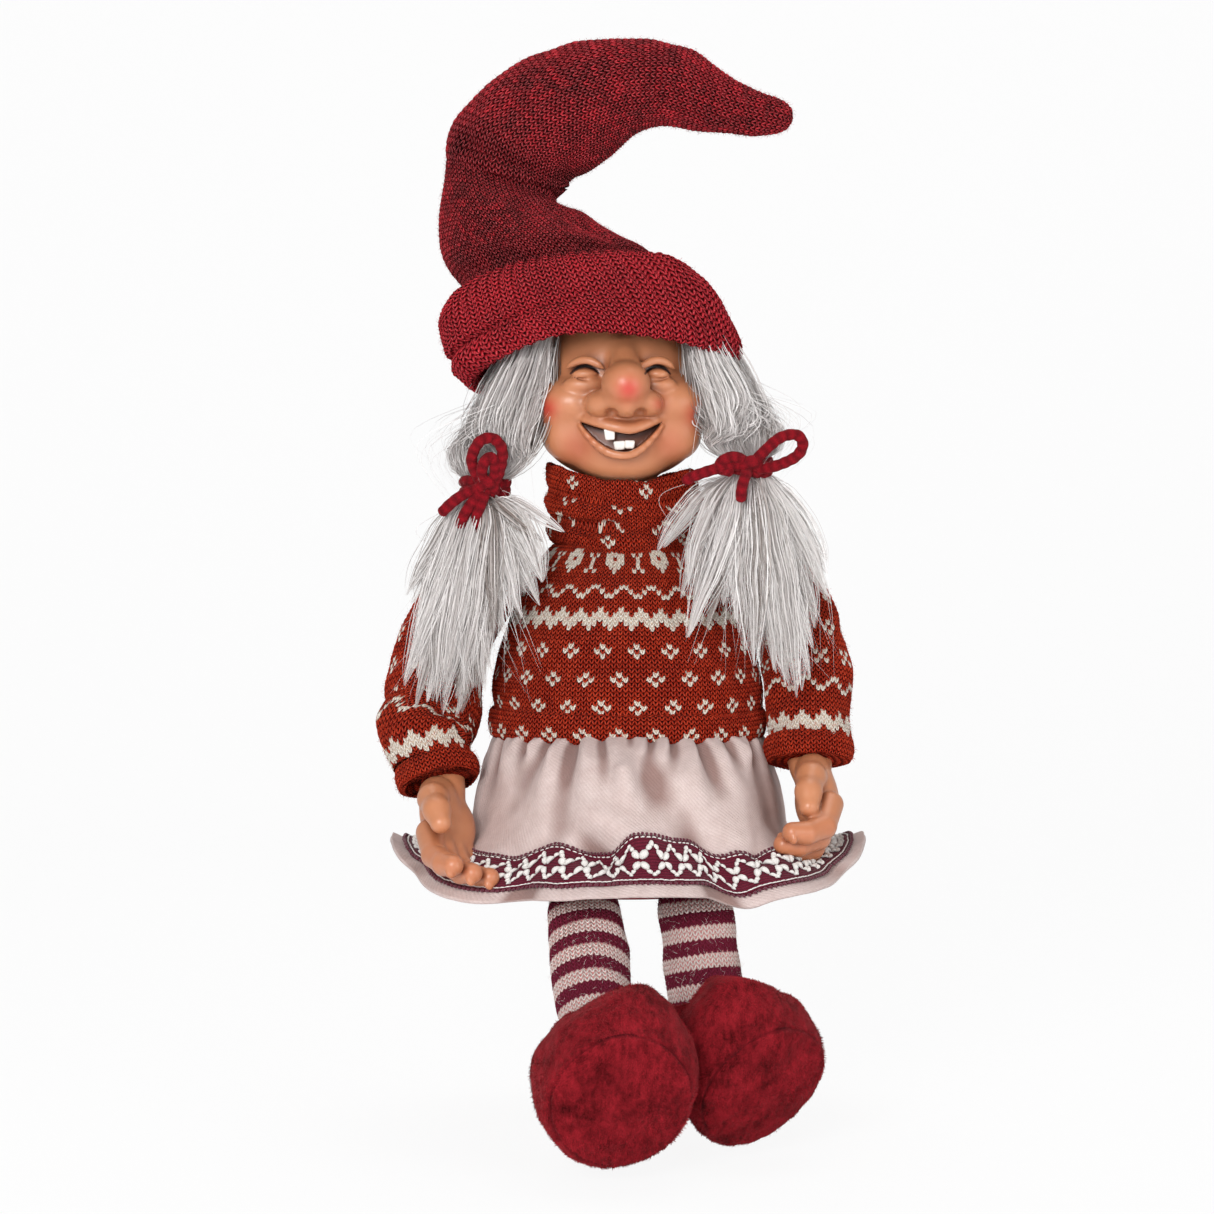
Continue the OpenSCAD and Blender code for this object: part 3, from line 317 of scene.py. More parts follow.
def arc_chain(field, points, radii, soft, cut=False):
    """Rounded line through the points, melted on or cut in."""
    for (a, ra), (b, rb) in zip(zip(points, radii), zip(points[1:], radii[1:])):
        d = field.capsule(a, b, ra, rb)
        field.cut(d, soft) if cut else field.add(d, soft)


# ---------------------------------------------------------------- materials

class Shader:
    """Small helper that adds nodes to one material."""

    def __init__(self, name):
        self.material = bpy.data.materials.new(name)
        self.material.use_nodes = True
        self.tree = self.material.node_tree
        self.base = self.tree.nodes["Principled BSDF"]

    def node(self, kind, inputs=None, **settings):
        n = self.tree.nodes.new(kind)
        for key, value in settings.items():
            setattr(n, key, value)
        for key, value in (inputs or {}).items():
            self.put(n, key, value)
        return n

    def put(self, n, key, value):
        socket = n.inputs[key]
        if isinstance(value, bpy.types.NodeSocket):
            self.tree.links.new(value, socket)
        else:
            socket.default_value = (*value, 1) if isinstance(value, tuple) and len(value) == 3 \
                and socket.type == "RGBA" else value

    def set(self, **values):
        for key, value in values.items():
            self.put(self.base, key.replace("_", " "), value)

    def mix(self, factor, a, b, blend="MIX"):
        n = self.node("ShaderNodeMix", data_type="RGBA", blend_type=blend)
        for k, v in ((0, factor), (6, a), (7, b)):
            self.put(n, k, v)
        return n.outputs[2]

    def math(self, operation, a, b=0.0):
        n = self.node("ShaderNodeMath", operation=operation)
        self.put(n, 0, a)
        self.put(n, 1, b)
        return n.outputs[0]

    def ramp(self, value, low, high, out_low=0.0, out_high=1.0):
        n = self.node("ShaderNodeMapRange")
        for k, v in enumerate((value, low, high, out_low, out_high)):
            self.put(n, k, v)
        return n.outputs[0]

    def noise(self, scale, detail=2.0, rough=0.5, stretch=(1, 1, 1)):
        place = self.node("ShaderNodeTexCoord").outputs["Object"]
        if stretch != (1, 1, 1):
            place = self.node("ShaderNodeMapping", {"Vector": place, "Scale": stretch}).outputs[0]
        return self.node("ShaderNodeTexNoise",
                         {"Vector": place, "Scale": scale, "Detail": detail, "Roughness": rough}).outputs[0]

    def layer(self, name):
        a = self.node("ShaderNodeAttribute", attribute_name=name)
        return self.node("ShaderNodeSeparateColor", {"Color": a.outputs["Color"]}).outputs

    def bump(self, height, distance, strength=1.0):
        n = self.node("ShaderNodeBump", {"Height": height, "Distance": distance, "Strength": strength})
        self.put(self.base, "Normal", n.outputs[0])


def knit_material(name, dark, light, figure=(0.97, 0.89, 0.79), depth=0.07, tips=None):
    """Wool knitting. The layer "knit" holds the figure, a lift for loose fibres and a random number
    per stitch that also carries painted light and shade; the map "stitch" counts wales and courses.
    Painted shade darkens the gaps between the stitches, `depth` setting how dark, and a painted
    highlight in the `tips` colour lightens the tops of the raised yarn."""
    s = Shader(name)
    pattern, lift, chance = s.layer("knit")[:3]
    height = s.math("MAXIMUM", stitch_height(s), lift)
    fibre = s.noise(2300, 3, 0.7)
    cloud = s.noise(55, 2, 0.6)
    fleck = s.math("MULTIPLY", s.math("POWER", chance, 2.0), 0.5)
    tone = s.math("ADD", fleck, s.ramp(cloud, 0.3, 0.7, 0.0, 0.25))
    wool = s.mix(s.ramp(tone, 0.0, 0.8), dark, light)
    # painted highlight: the tips colour on the tops of the raised yarn, broken up by the fibre grain
    if tips:
        yarn_highlight = s.math("MULTIPLY", s.ramp(fibre, 0.42, 0.72), s.ramp(height, 0.5, 1.0))
        wool = s.mix(s.math("MULTIPLY", yarn_highlight, 0.7), wool, tips)
    cream = s.mix(s.ramp(fibre, 0.3, 0.7), tuple(0.88 * c for c in figure), figure)
    colour = s.mix(s.ramp(pattern, 0.35, 0.65), wool, cream)
    # painted shade in the gaps between the stitches: depth is how dark the wool gets there
    shadow = s.mix(s.ramp(pattern, 0.35, 0.65), (depth, depth * 0.5, depth * 0.5), (0.74, 0.64, 0.55))
    gap = s.mix(1.0, colour, shadow, "MULTIPLY")
    colour = s.mix(s.ramp(height, 0.15, 0.85), gap, colour)
    grain = s.ramp(fibre, 0.3, 0.7, 0.78, 1.18)
    colour = s.mix(1.0, colour, s.node("ShaderNodeCombineColor", {0: grain, 1: grain, 2: grain}).outputs[0],
                   "MULTIPLY")
    s.set(Base_Color=colour, Roughness=0.9, Sheen_Weight=0.03, Sheen_Roughness=0.4, Specular_IOR_Level=0.05)
    s.put(s.base, "Sheen Tint", (1.0, 0.45, 0.4))
    s.bump(s.math("ADD", height, s.math("MULTIPLY", fibre, 0.35)), 0.0012, 1.0)
    return s.material


def stitch_height(s):
    """Shader sockets that draw the two slanting legs of each stitch, 0 in the gaps and 1 on the yarn."""
    place = s.node("ShaderNodeUVMap", uv_map="stitch").outputs[0]
    axes = s.node("ShaderNodeSeparateXYZ", {0: place}).outputs
    side = s.math("ABSOLUTE", s.math("SUBTRACT", s.math("FRACT", axes[0]), 0.5))
    rise = s.math("FRACT", axes[1])
    legs = []
    for row in (0.0, 1.0):
        up = s.math("ADD", rise, row)
        middle = s.math("MULTIPLY_ADD", up, LEG_SLANT)
        middle.node.inputs[2].default_value = LEG_FOOT
        gap = s.math("DIVIDE", s.math("SUBTRACT", side, middle), LEG_HALF)
        over = s.math("SUBTRACT", 1.0, s.math("MULTIPLY", gap, gap))
        round_top = s.math("SQRT", s.math("MAXIMUM", over, 0.0))
        swell = s.math("MULTIPLY", s.ramp(up, 0.0, 0.25, 0.72, 1.0), s.ramp(up, 0.75, 1.4, 1.0, 0.0))
        legs.append(s.math("MULTIPLY", round_top, swell))
    return s.math("MAXIMUM", legs[0], legs[1])


def vinyl_material():
    """Satin vinyl with painted shade in the creases and hollows and sprayed blush: the layer "paint"
    holds blush, crease shade and mouth."""
    s = Shader("moulded_vinyl")
    blush, crease, mouth = s.layer("paint")[:3]
    patch = s.noise(45, 3, 0.6)
    skin = s.mix(s.ramp(patch, 0.3, 0.7), (0.50, 0.185, 0.083), (0.58, 0.235, 0.112))
    # painted shade in the creases and hollows
    skin = s.mix(s.ramp(crease, 0.05, 0.9, 0.0, 0.85), skin, (0.25, 0.075, 0.03))
    skin = s.mix(s.ramp(blush, 0.0, 1.0, 0.0, 0.92), skin, (0.58, 0.05, 0.035))
    # mouth layer: brown inside the mouth, going near black with painted shade deep in and under the upper
    # lip; black on the painted eye slits
    skin = s.mix(s.ramp(mouth, 0.0, 0.5), skin, (0.15, 0.045, 0.025))
    skin = s.mix(s.ramp(mouth, 0.5, 1.0), skin, (0.012, 0.005, 0.004))
    s.set(Base_Color=skin, Roughness=s.ramp(s.noise(160, 2), 0.3, 0.7, 0.36, 0.46),
          Subsurface_Weight=0.06, Subsurface_Scale=0.003, Coat_Weight=0.22, Coat_Roughness=0.28)
    s.put(s.base, "Subsurface Radius", (1.0, 0.45, 0.3))
    s.bump(s.noise(900, 2, 0.5), 0.00006, 0.5)
    return s.material


def tooth_material():
    s = Shader("tooth_paint")
    s.set(Base_Color=s.mix(s.ramp(s.noise(900, 2), 0.3, 0.7), (0.80, 0.77, 0.71), (0.88, 0.86, 0.82)),
          Roughness=0.22, Coat_Weight=0.5, Coat_Roughness=0.12)
    s.bump(s.noise(400), 0.0001, 0.4)
    return s.material


def hair_material():
    """Synthetic fibre: the layer "strand" holds the shade, which is painted shade on hair lying deeper
    or further back and partly each strand's own tone, a place along the strand and chance.
    """
    s = Shader("hair_fibre")
    shade, _, chance = s.layer("strand")[:3]
    light = s.mix(chance, (0.63, 0.59, 0.575), (0.89, 0.86, 0.845))
    # painted shade: hair lying deeper or further back takes this dark colour
    deep = s.mix(chance, (0.12, 0.085, 0.07), (0.34, 0.28, 0.25))
    colour = s.mix(s.ramp(shade, 0.05, 0.8), deep, light)
    s.set(Base_Color=colour, Roughness=0.45, Specular_IOR_Level=0.4, Sheen_Weight=0.1)
    return s.material


def yarn_material():
    """Soft cotton cord with painted shade where its chain stitches meet."""
    s = Shader("tie_yarn")
    chain_shading = s.layer("strand")
    fibre = s.noise(2100, 3, 0.7)
    # painted shade in the grooves between the chain stitches, over the fibre's own tone
    tone = s.math("ADD", s.ramp(chain_shading[0], 0.0, 1.0, 0.15, 0.6), s.ramp(fibre, 0.3, 0.7, -0.15, 0.4))
    s.set(Base_Color=s.mix(tone, (0.045, 0.0008, 0.003), (0.33, 0.006, 0.014)), Roughness=0.85,
          Sheen_Weight=0.12, Sheen_Roughness=0.4, Specular_IOR_Level=0.15)
    s.put(s.base, "Sheen Tint", (1.0, 0.3, 0.3))
    s.bump(fibre, 0.0005, 0.8)
    return s.material


def felt_material():
    """Pale wool felt with a fine woven grain and a short nap; the layer "cloth" holds painted shade."""
    s = Shader("skirt_felt")
    shade = s.layer("cloth")
    nap = s.noise(1300, 4, 0.75)
    cloud = s.noise(150, 3, 0.6)
    place = s.node("ShaderNodeUVMap", uv_map="weave").outputs[0]
    twill = s.node("ShaderNodeTexWave", {"Vector": place, "Scale": 3.6, "Distortion": 3.5, "Detail": 3.0,
                                         "Detail Scale": 6.0}, bands_direction="DIAGONAL").outputs[1]
    base = s.mix(s.ramp(cloud, 0.3, 0.7), (0.61, 0.465, 0.435), (0.71, 0.57, 0.54))
    base = s.mix(s.ramp(nap, 0.35, 0.75, 0.0, 0.35), base, (0.84, 0.74, 0.71))
    base = s.mix(s.ramp(twill, 0.2, 0.8, 0.0, 0.14), base, (0.40, 0.29, 0.27))
    # painted shade in the skirt's pleats and folds and on its inside
    base = s.mix(s.ramp(shade[0], 0.0, 1.0, 0.0, 0.85), base, (0.24, 0.12, 0.10))
    s.set(Base_Color=base, Roughness=0.95, Sheen_Weight=0.12, Sheen_Roughness=0.45, Specular_IOR_Level=0.12)
    s.bump(s.math("ADD", nap, s.math("MULTIPLY", twill, 0.4)), 0.0004, 0.9)
    return s.material


def ribbon_material():
    """Woven wine-red band with fine ribs."""
    s = Shader("woven_ribbon")
    fibre = s.noise(2200, 3, 0.7)
    place = s.node("ShaderNodeUVMap", uv_map="weave").outputs[0]
    rep = s.node("ShaderNodeTexWave", {"Vector": place, "Scale": 2.6, "Distortion": 0.6, "Detail": 1.0},
                 bands_direction="Y").outputs[1]
    colour = s.mix(s.ramp(fibre, 0.3, 0.7), (0.075, 0.004, 0.015), (0.20, 0.016, 0.038))
    colour = s.mix(s.ramp(rep, 0.1, 0.9, 0.0, 0.5), colour, (0.035, 0.002, 0.008))
    s.set(Base_Color=colour, Roughness=0.85, Sheen_Weight=0.08, Specular_IOR_Level=0.15)
    s.bump(s.math("ADD", rep, fibre), 0.0003, 0.8)
    return s.material


def thread_material(name, dark, light):
    s = Shader(name)
    fibre = s.noise(1900, 3, 0.7, (1, 1, 3))
    s.set(Base_Color=s.mix(s.ramp(fibre, 0.3, 0.7), dark, light), Roughness=0.7, Sheen_Weight=0.3)
    s.bump(fibre, 0.0003, 0.7)
    return s.material


def plush_material():
    """Crimson plush: the nap lies in patches and streaks that catch the light or look dark; a painted
    sheen lightens it where it turns from the camera and painted shade darkens its seams.
    """
    s = Shader("boot_plush")
    seam, tuft, luck = s.layer("cloth")[:3]
    patch = s.noise(85, 4, 0.7)
    streak = s.noise(420, 3, 0.7, (1.0, 0.7, 0.45))
    pile = s.noise(1400, 4, 0.8)
    facing = s.node("ShaderNodeLayerWeight", {"Blend": 0.4}).outputs["Facing"]
    tone = s.math("ADD", s.math("MULTIPLY", s.ramp(patch, 0.3, 0.7), 0.4),
                  s.math("MULTIPLY", s.ramp(streak, 0.3, 0.7), 0.4))
    tone = s.math("ADD", tone, s.math("MULTIPLY", s.ramp(pile, 0.35, 0.65), 0.25))
    tone = s.math("ADD", tone, s.math("MULTIPLY", tuft, s.ramp(luck, 0.0, 1.0, -0.25, 0.55)))
    colour = s.mix(s.ramp(tone, 0.2, 0.95), (0.055, 0.001, 0.002), (0.42, 0.018, 0.029))
    # painted sheen: lighter colour where the surface turns away from the camera
    colour = s.mix(s.ramp(facing, 0.45, 0.98, 0.0, 0.5), colour, (0.38, 0.028, 0.036))
    # painted shade in the seam grooves
    colour = s.mix(s.ramp(seam, 0.0, 1.0, 0.0, 0.88), colour, (0.025, 0.0, 0.002))
    s.set(Base_Color=colour, Roughness=0.85, Sheen_Weight=0.22, Sheen_Roughness=0.3, Specular_IOR_Level=0.1)
    s.put(s.base, "Sheen Tint", (1.0, 0.25, 0.25))
    s.bump(s.math("ADD", s.math("ADD", pile, s.math("MULTIPLY", streak, 0.6)), patch), 0.0007, 0.8)
    return s.material


# ---------------------------------------------------------------- camera, light and floor

PHOTO_DISTANCE = 1470.0
PHOTO_RISE = math.radians(3.5)
PHOTO_TARGET = Vector((-8.8, 0.0, 117.4))
LENS = 103.8
LIT = Vector((0, -0.03, 0.1))
SHELF_DROP = 98.0


def make_camera():
    """Camera where the photograph was taken from."""
    data = bpy.data.cameras.new("photo_camera")
    data.sensor_width = 36
    data.lens = LENS
    camera = bpy.data.objects.new("photo_camera", data)
    bpy.context.scene.collection.objects.link(camera)
    back = Vector((0, -math.cos(PHOTO_RISE), math.sin(PHOTO_RISE)))
    camera.location = (PHOTO_TARGET + back * PHOTO_DISTANCE) * MM
    camera.rotation_mode = "QUATERNION"
    camera.rotation_quaternion = (-back).to_track_quat("-Z", "Y")
    data.clip_start, data.clip_end = 0.1, 20
    bpy.context.scene.camera = camera


def area_light(name, place, size, power):
    """Soft white light at a place in metres, aimed at the doll."""
    data = bpy.data.lights.new(name, "AREA")
    data.shape = "RECTANGLE"
    data.size, data.size_y = size
    data.energy = power
    light = bpy.data.objects.new(name, data)
    bpy.context.scene.collection.objects.link(light)
    light.location = place
    light.rotation_mode = "QUATERNION"
    light.rotation_quaternion = (LIT - Vector(place)).to_track_quat("-Z", "Y")


def make_studio():
    """Pale floor that curves up into the backdrop, and soft light from above and both sides."""
    z = -SHELF_DROP - 1.0
    start, radius = 900, 700
    profile = [(-1600, z), (start, z)]
    profile += [(start + radius * math.sin(a), z + radius * (1 - math.cos(a)))
                for a in np.linspace(0.1, math.pi / 2, 14)]
    profile.append((start + radius, 3200))
    x = np.array([-3500, 3500])
    points = np.array([[px, y, h] for y, h in profile for px in x], float)
    floor = new_mesh("backdrop", points, [grid_quads(len(profile), 2, wrap=False)])
    s = Shader("backdrop_paper")
    s.set(Base_Color=(0.93, 0.93, 0.935), Roughness=0.9, Specular_IOR_Level=0.1)
    glow = s.node("ShaderNodeEmission", {"Color": (1.0, 1.0, 1.0), "Strength": 1.0})
    # the camera sees the paper nearly white, and the light on it stays soft
    share = s.math("MULTIPLY", s.node("ShaderNodeLightPath").outputs["Is Camera Ray"], 0.9)
    mix = s.node("ShaderNodeMixShader", {0: share, 1: s.base.outputs[0], 2: glow.outputs[0]})
    s.tree.links.new(mix.outputs[0], s.tree.nodes["Material Output"].inputs["Surface"])
    floor.data.materials.append(s.material)
    area_light("key", (-0.5, -1.8, 0.66), (0.75, 0.75), 26)
    area_light("fill", (1.25, -1.3, 0.2), (1.0, 1.4), 11)
    area_light("top", (0.1, 0.3, 1.7), (1.4, 1.0), 9)
    world = bpy.data.worlds.new("studio")
    bpy.context.scene.world = world
    world.use_nodes = True
    sky = world.node_tree.nodes["Background"].inputs
    sky["Color"].default_value, sky["Strength"].default_value = (1, 1, 1, 1), 0.35
    bpy.context.scene.view_settings.view_transform = "Standard"


# ---------------------------------------------------------------- head

HEAD_STEP = 0.5


def head_field():
    """The moulded head: skull, jaw, chin, cheeks and neck, and then the features."""
    f = Field((-45, -60, 152), (38, 42, 252), HEAD_STEP)
    f.add(f.ellipsoid((-3.4, 1, 216), (32.5, 33, 33)), 1)
    f.add(f.ellipsoid((-3.2, -4, 194), (34.3, 30, 23.5)), 8)
    f.add(f.ellipsoid((-2.6, -20, 181), (18, 12.5, 10.5)), 6)
    f.add(f.ellipsoid((-3, -27.5, 192), (16, 9, 11)), 5)
    for x, side in ((-22.5, -1), (17.0, 1)):
        f.add(f.ellipsoid((x, -18.0, 203.0), (16.0, 16.0, 11.6)), 3.5)
        f.add(f.ellipsoid((x + side * 4, -20, 190), (9, 9, 10)), 6)
    f.add(f.capsule((-3, -2, 160), (-3, -2, 176), 14, 14), 4)
    nose(f)
    # creases from the nose's wings down round the mouth
    arc_chain(f, [(-14.2, -38, 209.5), (-17.3, -37, 204), (-19.9, -36.2, 198), (-21.2, -35, 192.5)],
              (0.5, 0.9, 1.3, 0.6), 1.6, cut=True)
    arc_chain(f, [(9.6, -38.5, 208.5), (12.0, -37.4, 204), (14.6, -36.4, 198), (16.0, -35, 192)],
              (0.5, 0.9, 1.3, 0.6), 1.6, cut=True)
    eyes(f)
    mouth(f)
    return f


def nose(f):
    """Bulbous nose: ball, broad lower part, wings with nostrils, and the soft rise from the forehead."""
    f.add(f.capsule((-2.0, -29, 226), (-1.2, -36, 216), 4.0, 7.0), 4)
    f.add(f.ellipsoid((-1.2, -43.0, 210.8), (10.0, 10.6, 9.4)), 2.0)
    f.add(f.ellipsoid((-1.6, -38.6, 203.6), (12.0, 8.6, 5.6)), 3.5)
    f.add(f.ellipsoid((-12.4, -36.2, 202.6), (5.4, 6.6, 5.2)), 3.5)
    f.add(f.ellipsoid((9.2, -36.4, 202.8), (4.9, 6.6, 5.0)), 3.5)
    f.add(f.ellipsoid((-0.9, -42.4, 200.6), (3.4, 5.4, 3.0)), 3.0)
    for x in (-6.9, 4.8):
        f.cut(f.ellipsoid((x, -42.6, 199.0), (2.6, 5.6, 2.0)), 1.0)


# Middle and half-width of each eye
EYES = (((-17.9, -33.4, 215.0), 5.3), ((11.9, -33.6, 214.9), 4.7))


def eye_arc(middle, half, rise, lift, depth, count=9):
    """Points of an arched lid, bent round the face."""
    t = np.linspace(-1, 1, count)
    x = middle[0] + half * t
    z = middle[2] + lift + rise * (1 - t**2)
    y = middle[1] + depth + 0.014 * ((x + 2.5)**2 - (middle[0] + 2.5)**2)
    return list(zip(x, y, z))


def eyes(f):
    """Laughing eyes: a small ball between a thin arched lid and the risen cheek."""
    taper = 1 - 0.6 * np.linspace(-1, 1, 9)**2
    for middle, half in EYES:
        x, front, z = middle
        f.cut(f.ellipsoid((x, front - 2.2, z + 2.0), (half + 1.4, 3.0, 3.2)), 2.4)
        f.add(f.ellipsoid((x, front + 2.2, z - 0.1), (half, 3.5, 2.4)), 0.7)
        f.add(f.ellipsoid((x - 0.2, front + 3.6, z - 4.6), (half + 3.4, 4.8, 4.1)), 1.6)
        arc_chain(f, eye_arc(middle, half + 2.2, 3.4, 2.2, 1.5), 1.15 * taper, 2.2)
        arc_chain(f, eye_arc(middle, half + 0.4, 3.0, 0.0, -0.3), 0.8 * taper, 0.4, cut=True)
        arc_chain(f, eye_arc(middle, half - 0.6, -1.0, -1.3, -0.6), 0.4 * taper, 0.8, cut=True)


MOUTH = dict(left=-19.7, right=13.7, top_x=0.6, top=190.3, low_x=-1.4, low=183.2, corner=195.2)


def mouth_edges(x):
    """Heights of the upper and the lower edge of the open mouth."""
    m = MOUTH

    def share(at):
        return np.clip(np.where(x < at, (at - x) / (at - m["left"]), (x - at) / (m["right"] - at)), 0, 1)
    top = m["top"] + (m["corner"] - m["top"]) * share(m["top_x"])**1.4
    low = m["low"] + (m["corner"] - m["low"]) * share(m["low_x"])**np.where(x < m["low_x"], 2.15, 1.7)
    return top, low


def mouth(f):
    """Open smile: a lower lip, an upper lip, the opening and the crease above the chin."""
    top, low = mouth_edges(f.x)
    span = np.linspace(-1, 1, 13)
    xs = (MOUTH["left"] + MOUTH["right"]) / 2 + span * (MOUTH["right"] - MOUTH["left"]) / 2
    upper, lower = mouth_edges(xs)
    face = -37.9 + 0.022 * (xs + 3)**2
    arc_chain(f, list(zip(xs, face - 0.2, lower - 1.6)), 2.0 - 1.2 * span**2, 1.6)
    arc_chain(f, list(zip(xs, face + 0.6, upper + 1.9)), 1.9 - 1.3 * span**2, 2.4)
    slab = np.maximum(np.maximum(low - f.z, f.z - top) * 0.9, f.y + 29.5 - 0.012 * (f.x + 3)**2)
    f.cut(np.maximum(slab, np.abs(f.x + 3) - 16.7), 0.7)
    # crease under the lower lip
    xs = np.linspace(-11, 7, 7)
    points = [(a, -38.3 + 0.03 * (a + 2)**2, 177.4 + 0.035 * (a + 2)**2) for a in xs]
    arc_chain(f, points, [0.4, 0.8, 1.1, 1.2, 1.1, 0.8, 0.4], 2.6, cut=True)


def spot(points, x, z, radius):
    """Sprayed spot on the front of the face."""
    near = np.exp(-((points[:, 0] - x)**2 + (points[:, 2] - z)**2) / radius**2)
    return near * (points[:, 1] < -6)


def make_head(material):
    """Head with its paint: painted shade in the creases, sprayed blush, the mouth's inside darkened with
    painted shade, and the slits of the eyes.
    """
    f = head_field()
    points, quads = f.surface()
    normals = f.normals(points)
    # painted shade: darker in the creases and, more lightly, in broad hollows
    crease = f.hollow(points, normals, 2.0) ** 1.3
    wide = f.hollow(points, normals, 5)
    blush = sum(share * spot(points, x, z, r) for share, x, z, r in (
        (1.0, -0.1, 208.8, 4.8), (0.95, -33.6, 200.6, 4.6), (0.75, 28.2, 198.0, 4.8), (0.5, 12.6, 202.6, 2.8),
        (0.3, -20.9, 184.6, 7.0), (0.22, 17.0, 186.0, 7.0)))
    x, y, z = points.T
    top, low = mouth_edges(x)
    # painted shade inside the mouth: darker deeper in and under the upper lip
    mouth_depth_shade = np.clip((y + 36.2 - 0.021 * (x + 3)**2) / 3.0, 0, 1)
    inside = (z < top + 0.3) & (z > low - 0.1) & (np.abs(x + 3) < 16.7) & (y < -15)
    lip_shade = np.clip(1 - (top - z) / 2.5, 0, 1)
    slit = np.zeros(len(points))
    for middle, half in EYES:
        arc = np.array(eye_arc(middle, half + 0.5, 3.05, 0.1, 0, 25))
        gap = np.linalg.norm(points[:, None, [0, 2]] - arc[None][:, :, [0, 2]], axis=2)
        taper = 0.85 - 0.5 * np.linspace(-1, 1, 25)**2
        slit = np.maximum(slit, np.clip((taper - gap).max(axis=1) / 0.35 + 0.5, 0, 1) * (y < -22))
    dark = np.maximum(inside * mouth_depth_shade * (0.42 + 0.45 * lip_shade), slit)
    piece = new_mesh("head", points, [quads])
    colours = [np.clip(blush, 0, 1), np.clip(0.6 * crease + 0.25 * wide, 0, 1), dark]
    paint(piece, "paint", np.stack(colours, 1))
    finish_piece(piece, material, "head", ("head_shell",))
    even_out(piece)


def make_tooth(centre, width, height, turn):
    """Rounded peg of a tooth, a little uneven, set in the mouth."""
    edge = 0.8
    f = Field([c - 4.5 for c in centre], [c + 4.5 for c in centre], 0.18)
    x = (f.x - centre[0]) * math.cos(turn) + (f.z - centre[2]) * math.sin(turn)
    z = -(f.x - centre[0]) * math.sin(turn) + (f.z - centre[2]) * math.cos(turn)
    y = f.y - centre[1]
    wide = width / 2 * (1 + 0.04 * z)
    q = [np.abs(x) - wide + edge, np.abs(y) - 1.3 + edge + 0 * x, np.abs(z) - height / 2 + edge]
    q = np.broadcast_arrays(*[np.maximum(k, 0) for k in q])
    f.d = (np.sqrt(sum(k**2 for k in q)) - edge).astype(np.float32)
    return f.surface()


def make_teeth(material):
    upper = [(-7.7, -36.0, 190.4, 4.3, 5.0, 0.06)]
    lower = [(-3.75, -35.2, 185.7, 4.5, 3.7, 0.08), (0.45, -35.2, 186.1, 4.1, 3.5, -0.03)]
    for name, rows, node in (("tooth_top", upper, "upper_tooth"), ("teeth_low", lower, "lower_teeth")):
        parts = []
        for x, y, z, w, h, turn in rows:
            points, quads = make_tooth((x, y, z), w, h, turn)
            parts.append((points, [quads], np.zeros((len(points), 3))))
        points, faces, _ = join_arrays(parts)
        finish_piece(new_mesh(name, points, faces), material, "head", (node,))


# ---------------------------------------------------------------- knitting

WALE, COURSE = 2.3, 1.95  # width and height of a stitch
SAMPLES = 5  # grid lines per stitch
# each leg of a stitch: distance from the middle at its foot, its slant and half its width, in stitches
LEG_FOOT, LEG_SLANT, LEG_HALF = 0.07, 0.33, 0.2


def box_mm(node):
    """Corners of a CAD node's box."""
    low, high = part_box(node)
    return np.array(low) / MM, np.array(high) / MM


def stitch(s, t):
    """Relief 0 to 1 of stocking stitch at s wales and t courses, and the course that shows there."""
    u = np.abs(s - np.floor(s) - 0.5)
    course = np.floor(t)
    height, owner = np.zeros(u.shape), course.copy()
    for k in (0, 1):
        w = t - course + k
        gap = np.abs(u - (LEG_FOOT + LEG_SLANT * w)) / LEG_HALF
        swell = np.interp(w, [0, 0.25, 0.7, 1.3, 1.4], [0.72, 1.0, 0.9, 0.2, 0])
        h = np.sqrt(np.clip(1 - gap**2, 0, 1)) * swell
        owner = np.where(h > height, course - k, owner)
        height = np.maximum(height, h)
    return height, owner


def chance(i, j):
    """A number from 0 to 1 for each stitch."""
    return scramble((i.astype(np.int64) * PRIMES[0]) ^ (j.astype(np.int64) * PRIMES[1])) / 65535.0


def near_line(points, line):
    """Distance of each point to a line through several places."""
    best = np.full(points.shape[:-1], 1e9)
    for a, b in zip(np.array(line[:-1], float), np.array(line[1:], float)):
        n = b - a
        t = np.clip((points - a) @ n / (n @ n), 0, 1)
        best = np.minimum(best, np.linalg.norm(points - a - t[..., None] * n, axis=-1))
    return best


def crease(points, line, width, depth):
    """Push along the outward normal, in mm, near a line: a negative depth is a fold going in."""
    return depth * np.exp(-(near_line(points, line) / width)**2)


def fine_grid(rows, ring, columns):
    """Evenly spaced rows of stations turned into rings that are about one sample apart."""
    length = even_rows(rows, 4)[1]
    count = max(4, int(round(length / COURSE * SAMPLES)) + 1)
    return ring(even_rows(rows, count)[0], columns)


def courses(grid):
    """Course number of each row of a grid, from its mean length along the columns."""
    step = np.linalg.norm(np.diff(grid, axis=0), axis=-1).mean(axis=1)
    return np.concatenate([[0], np.cumsum(step)]) / COURSE


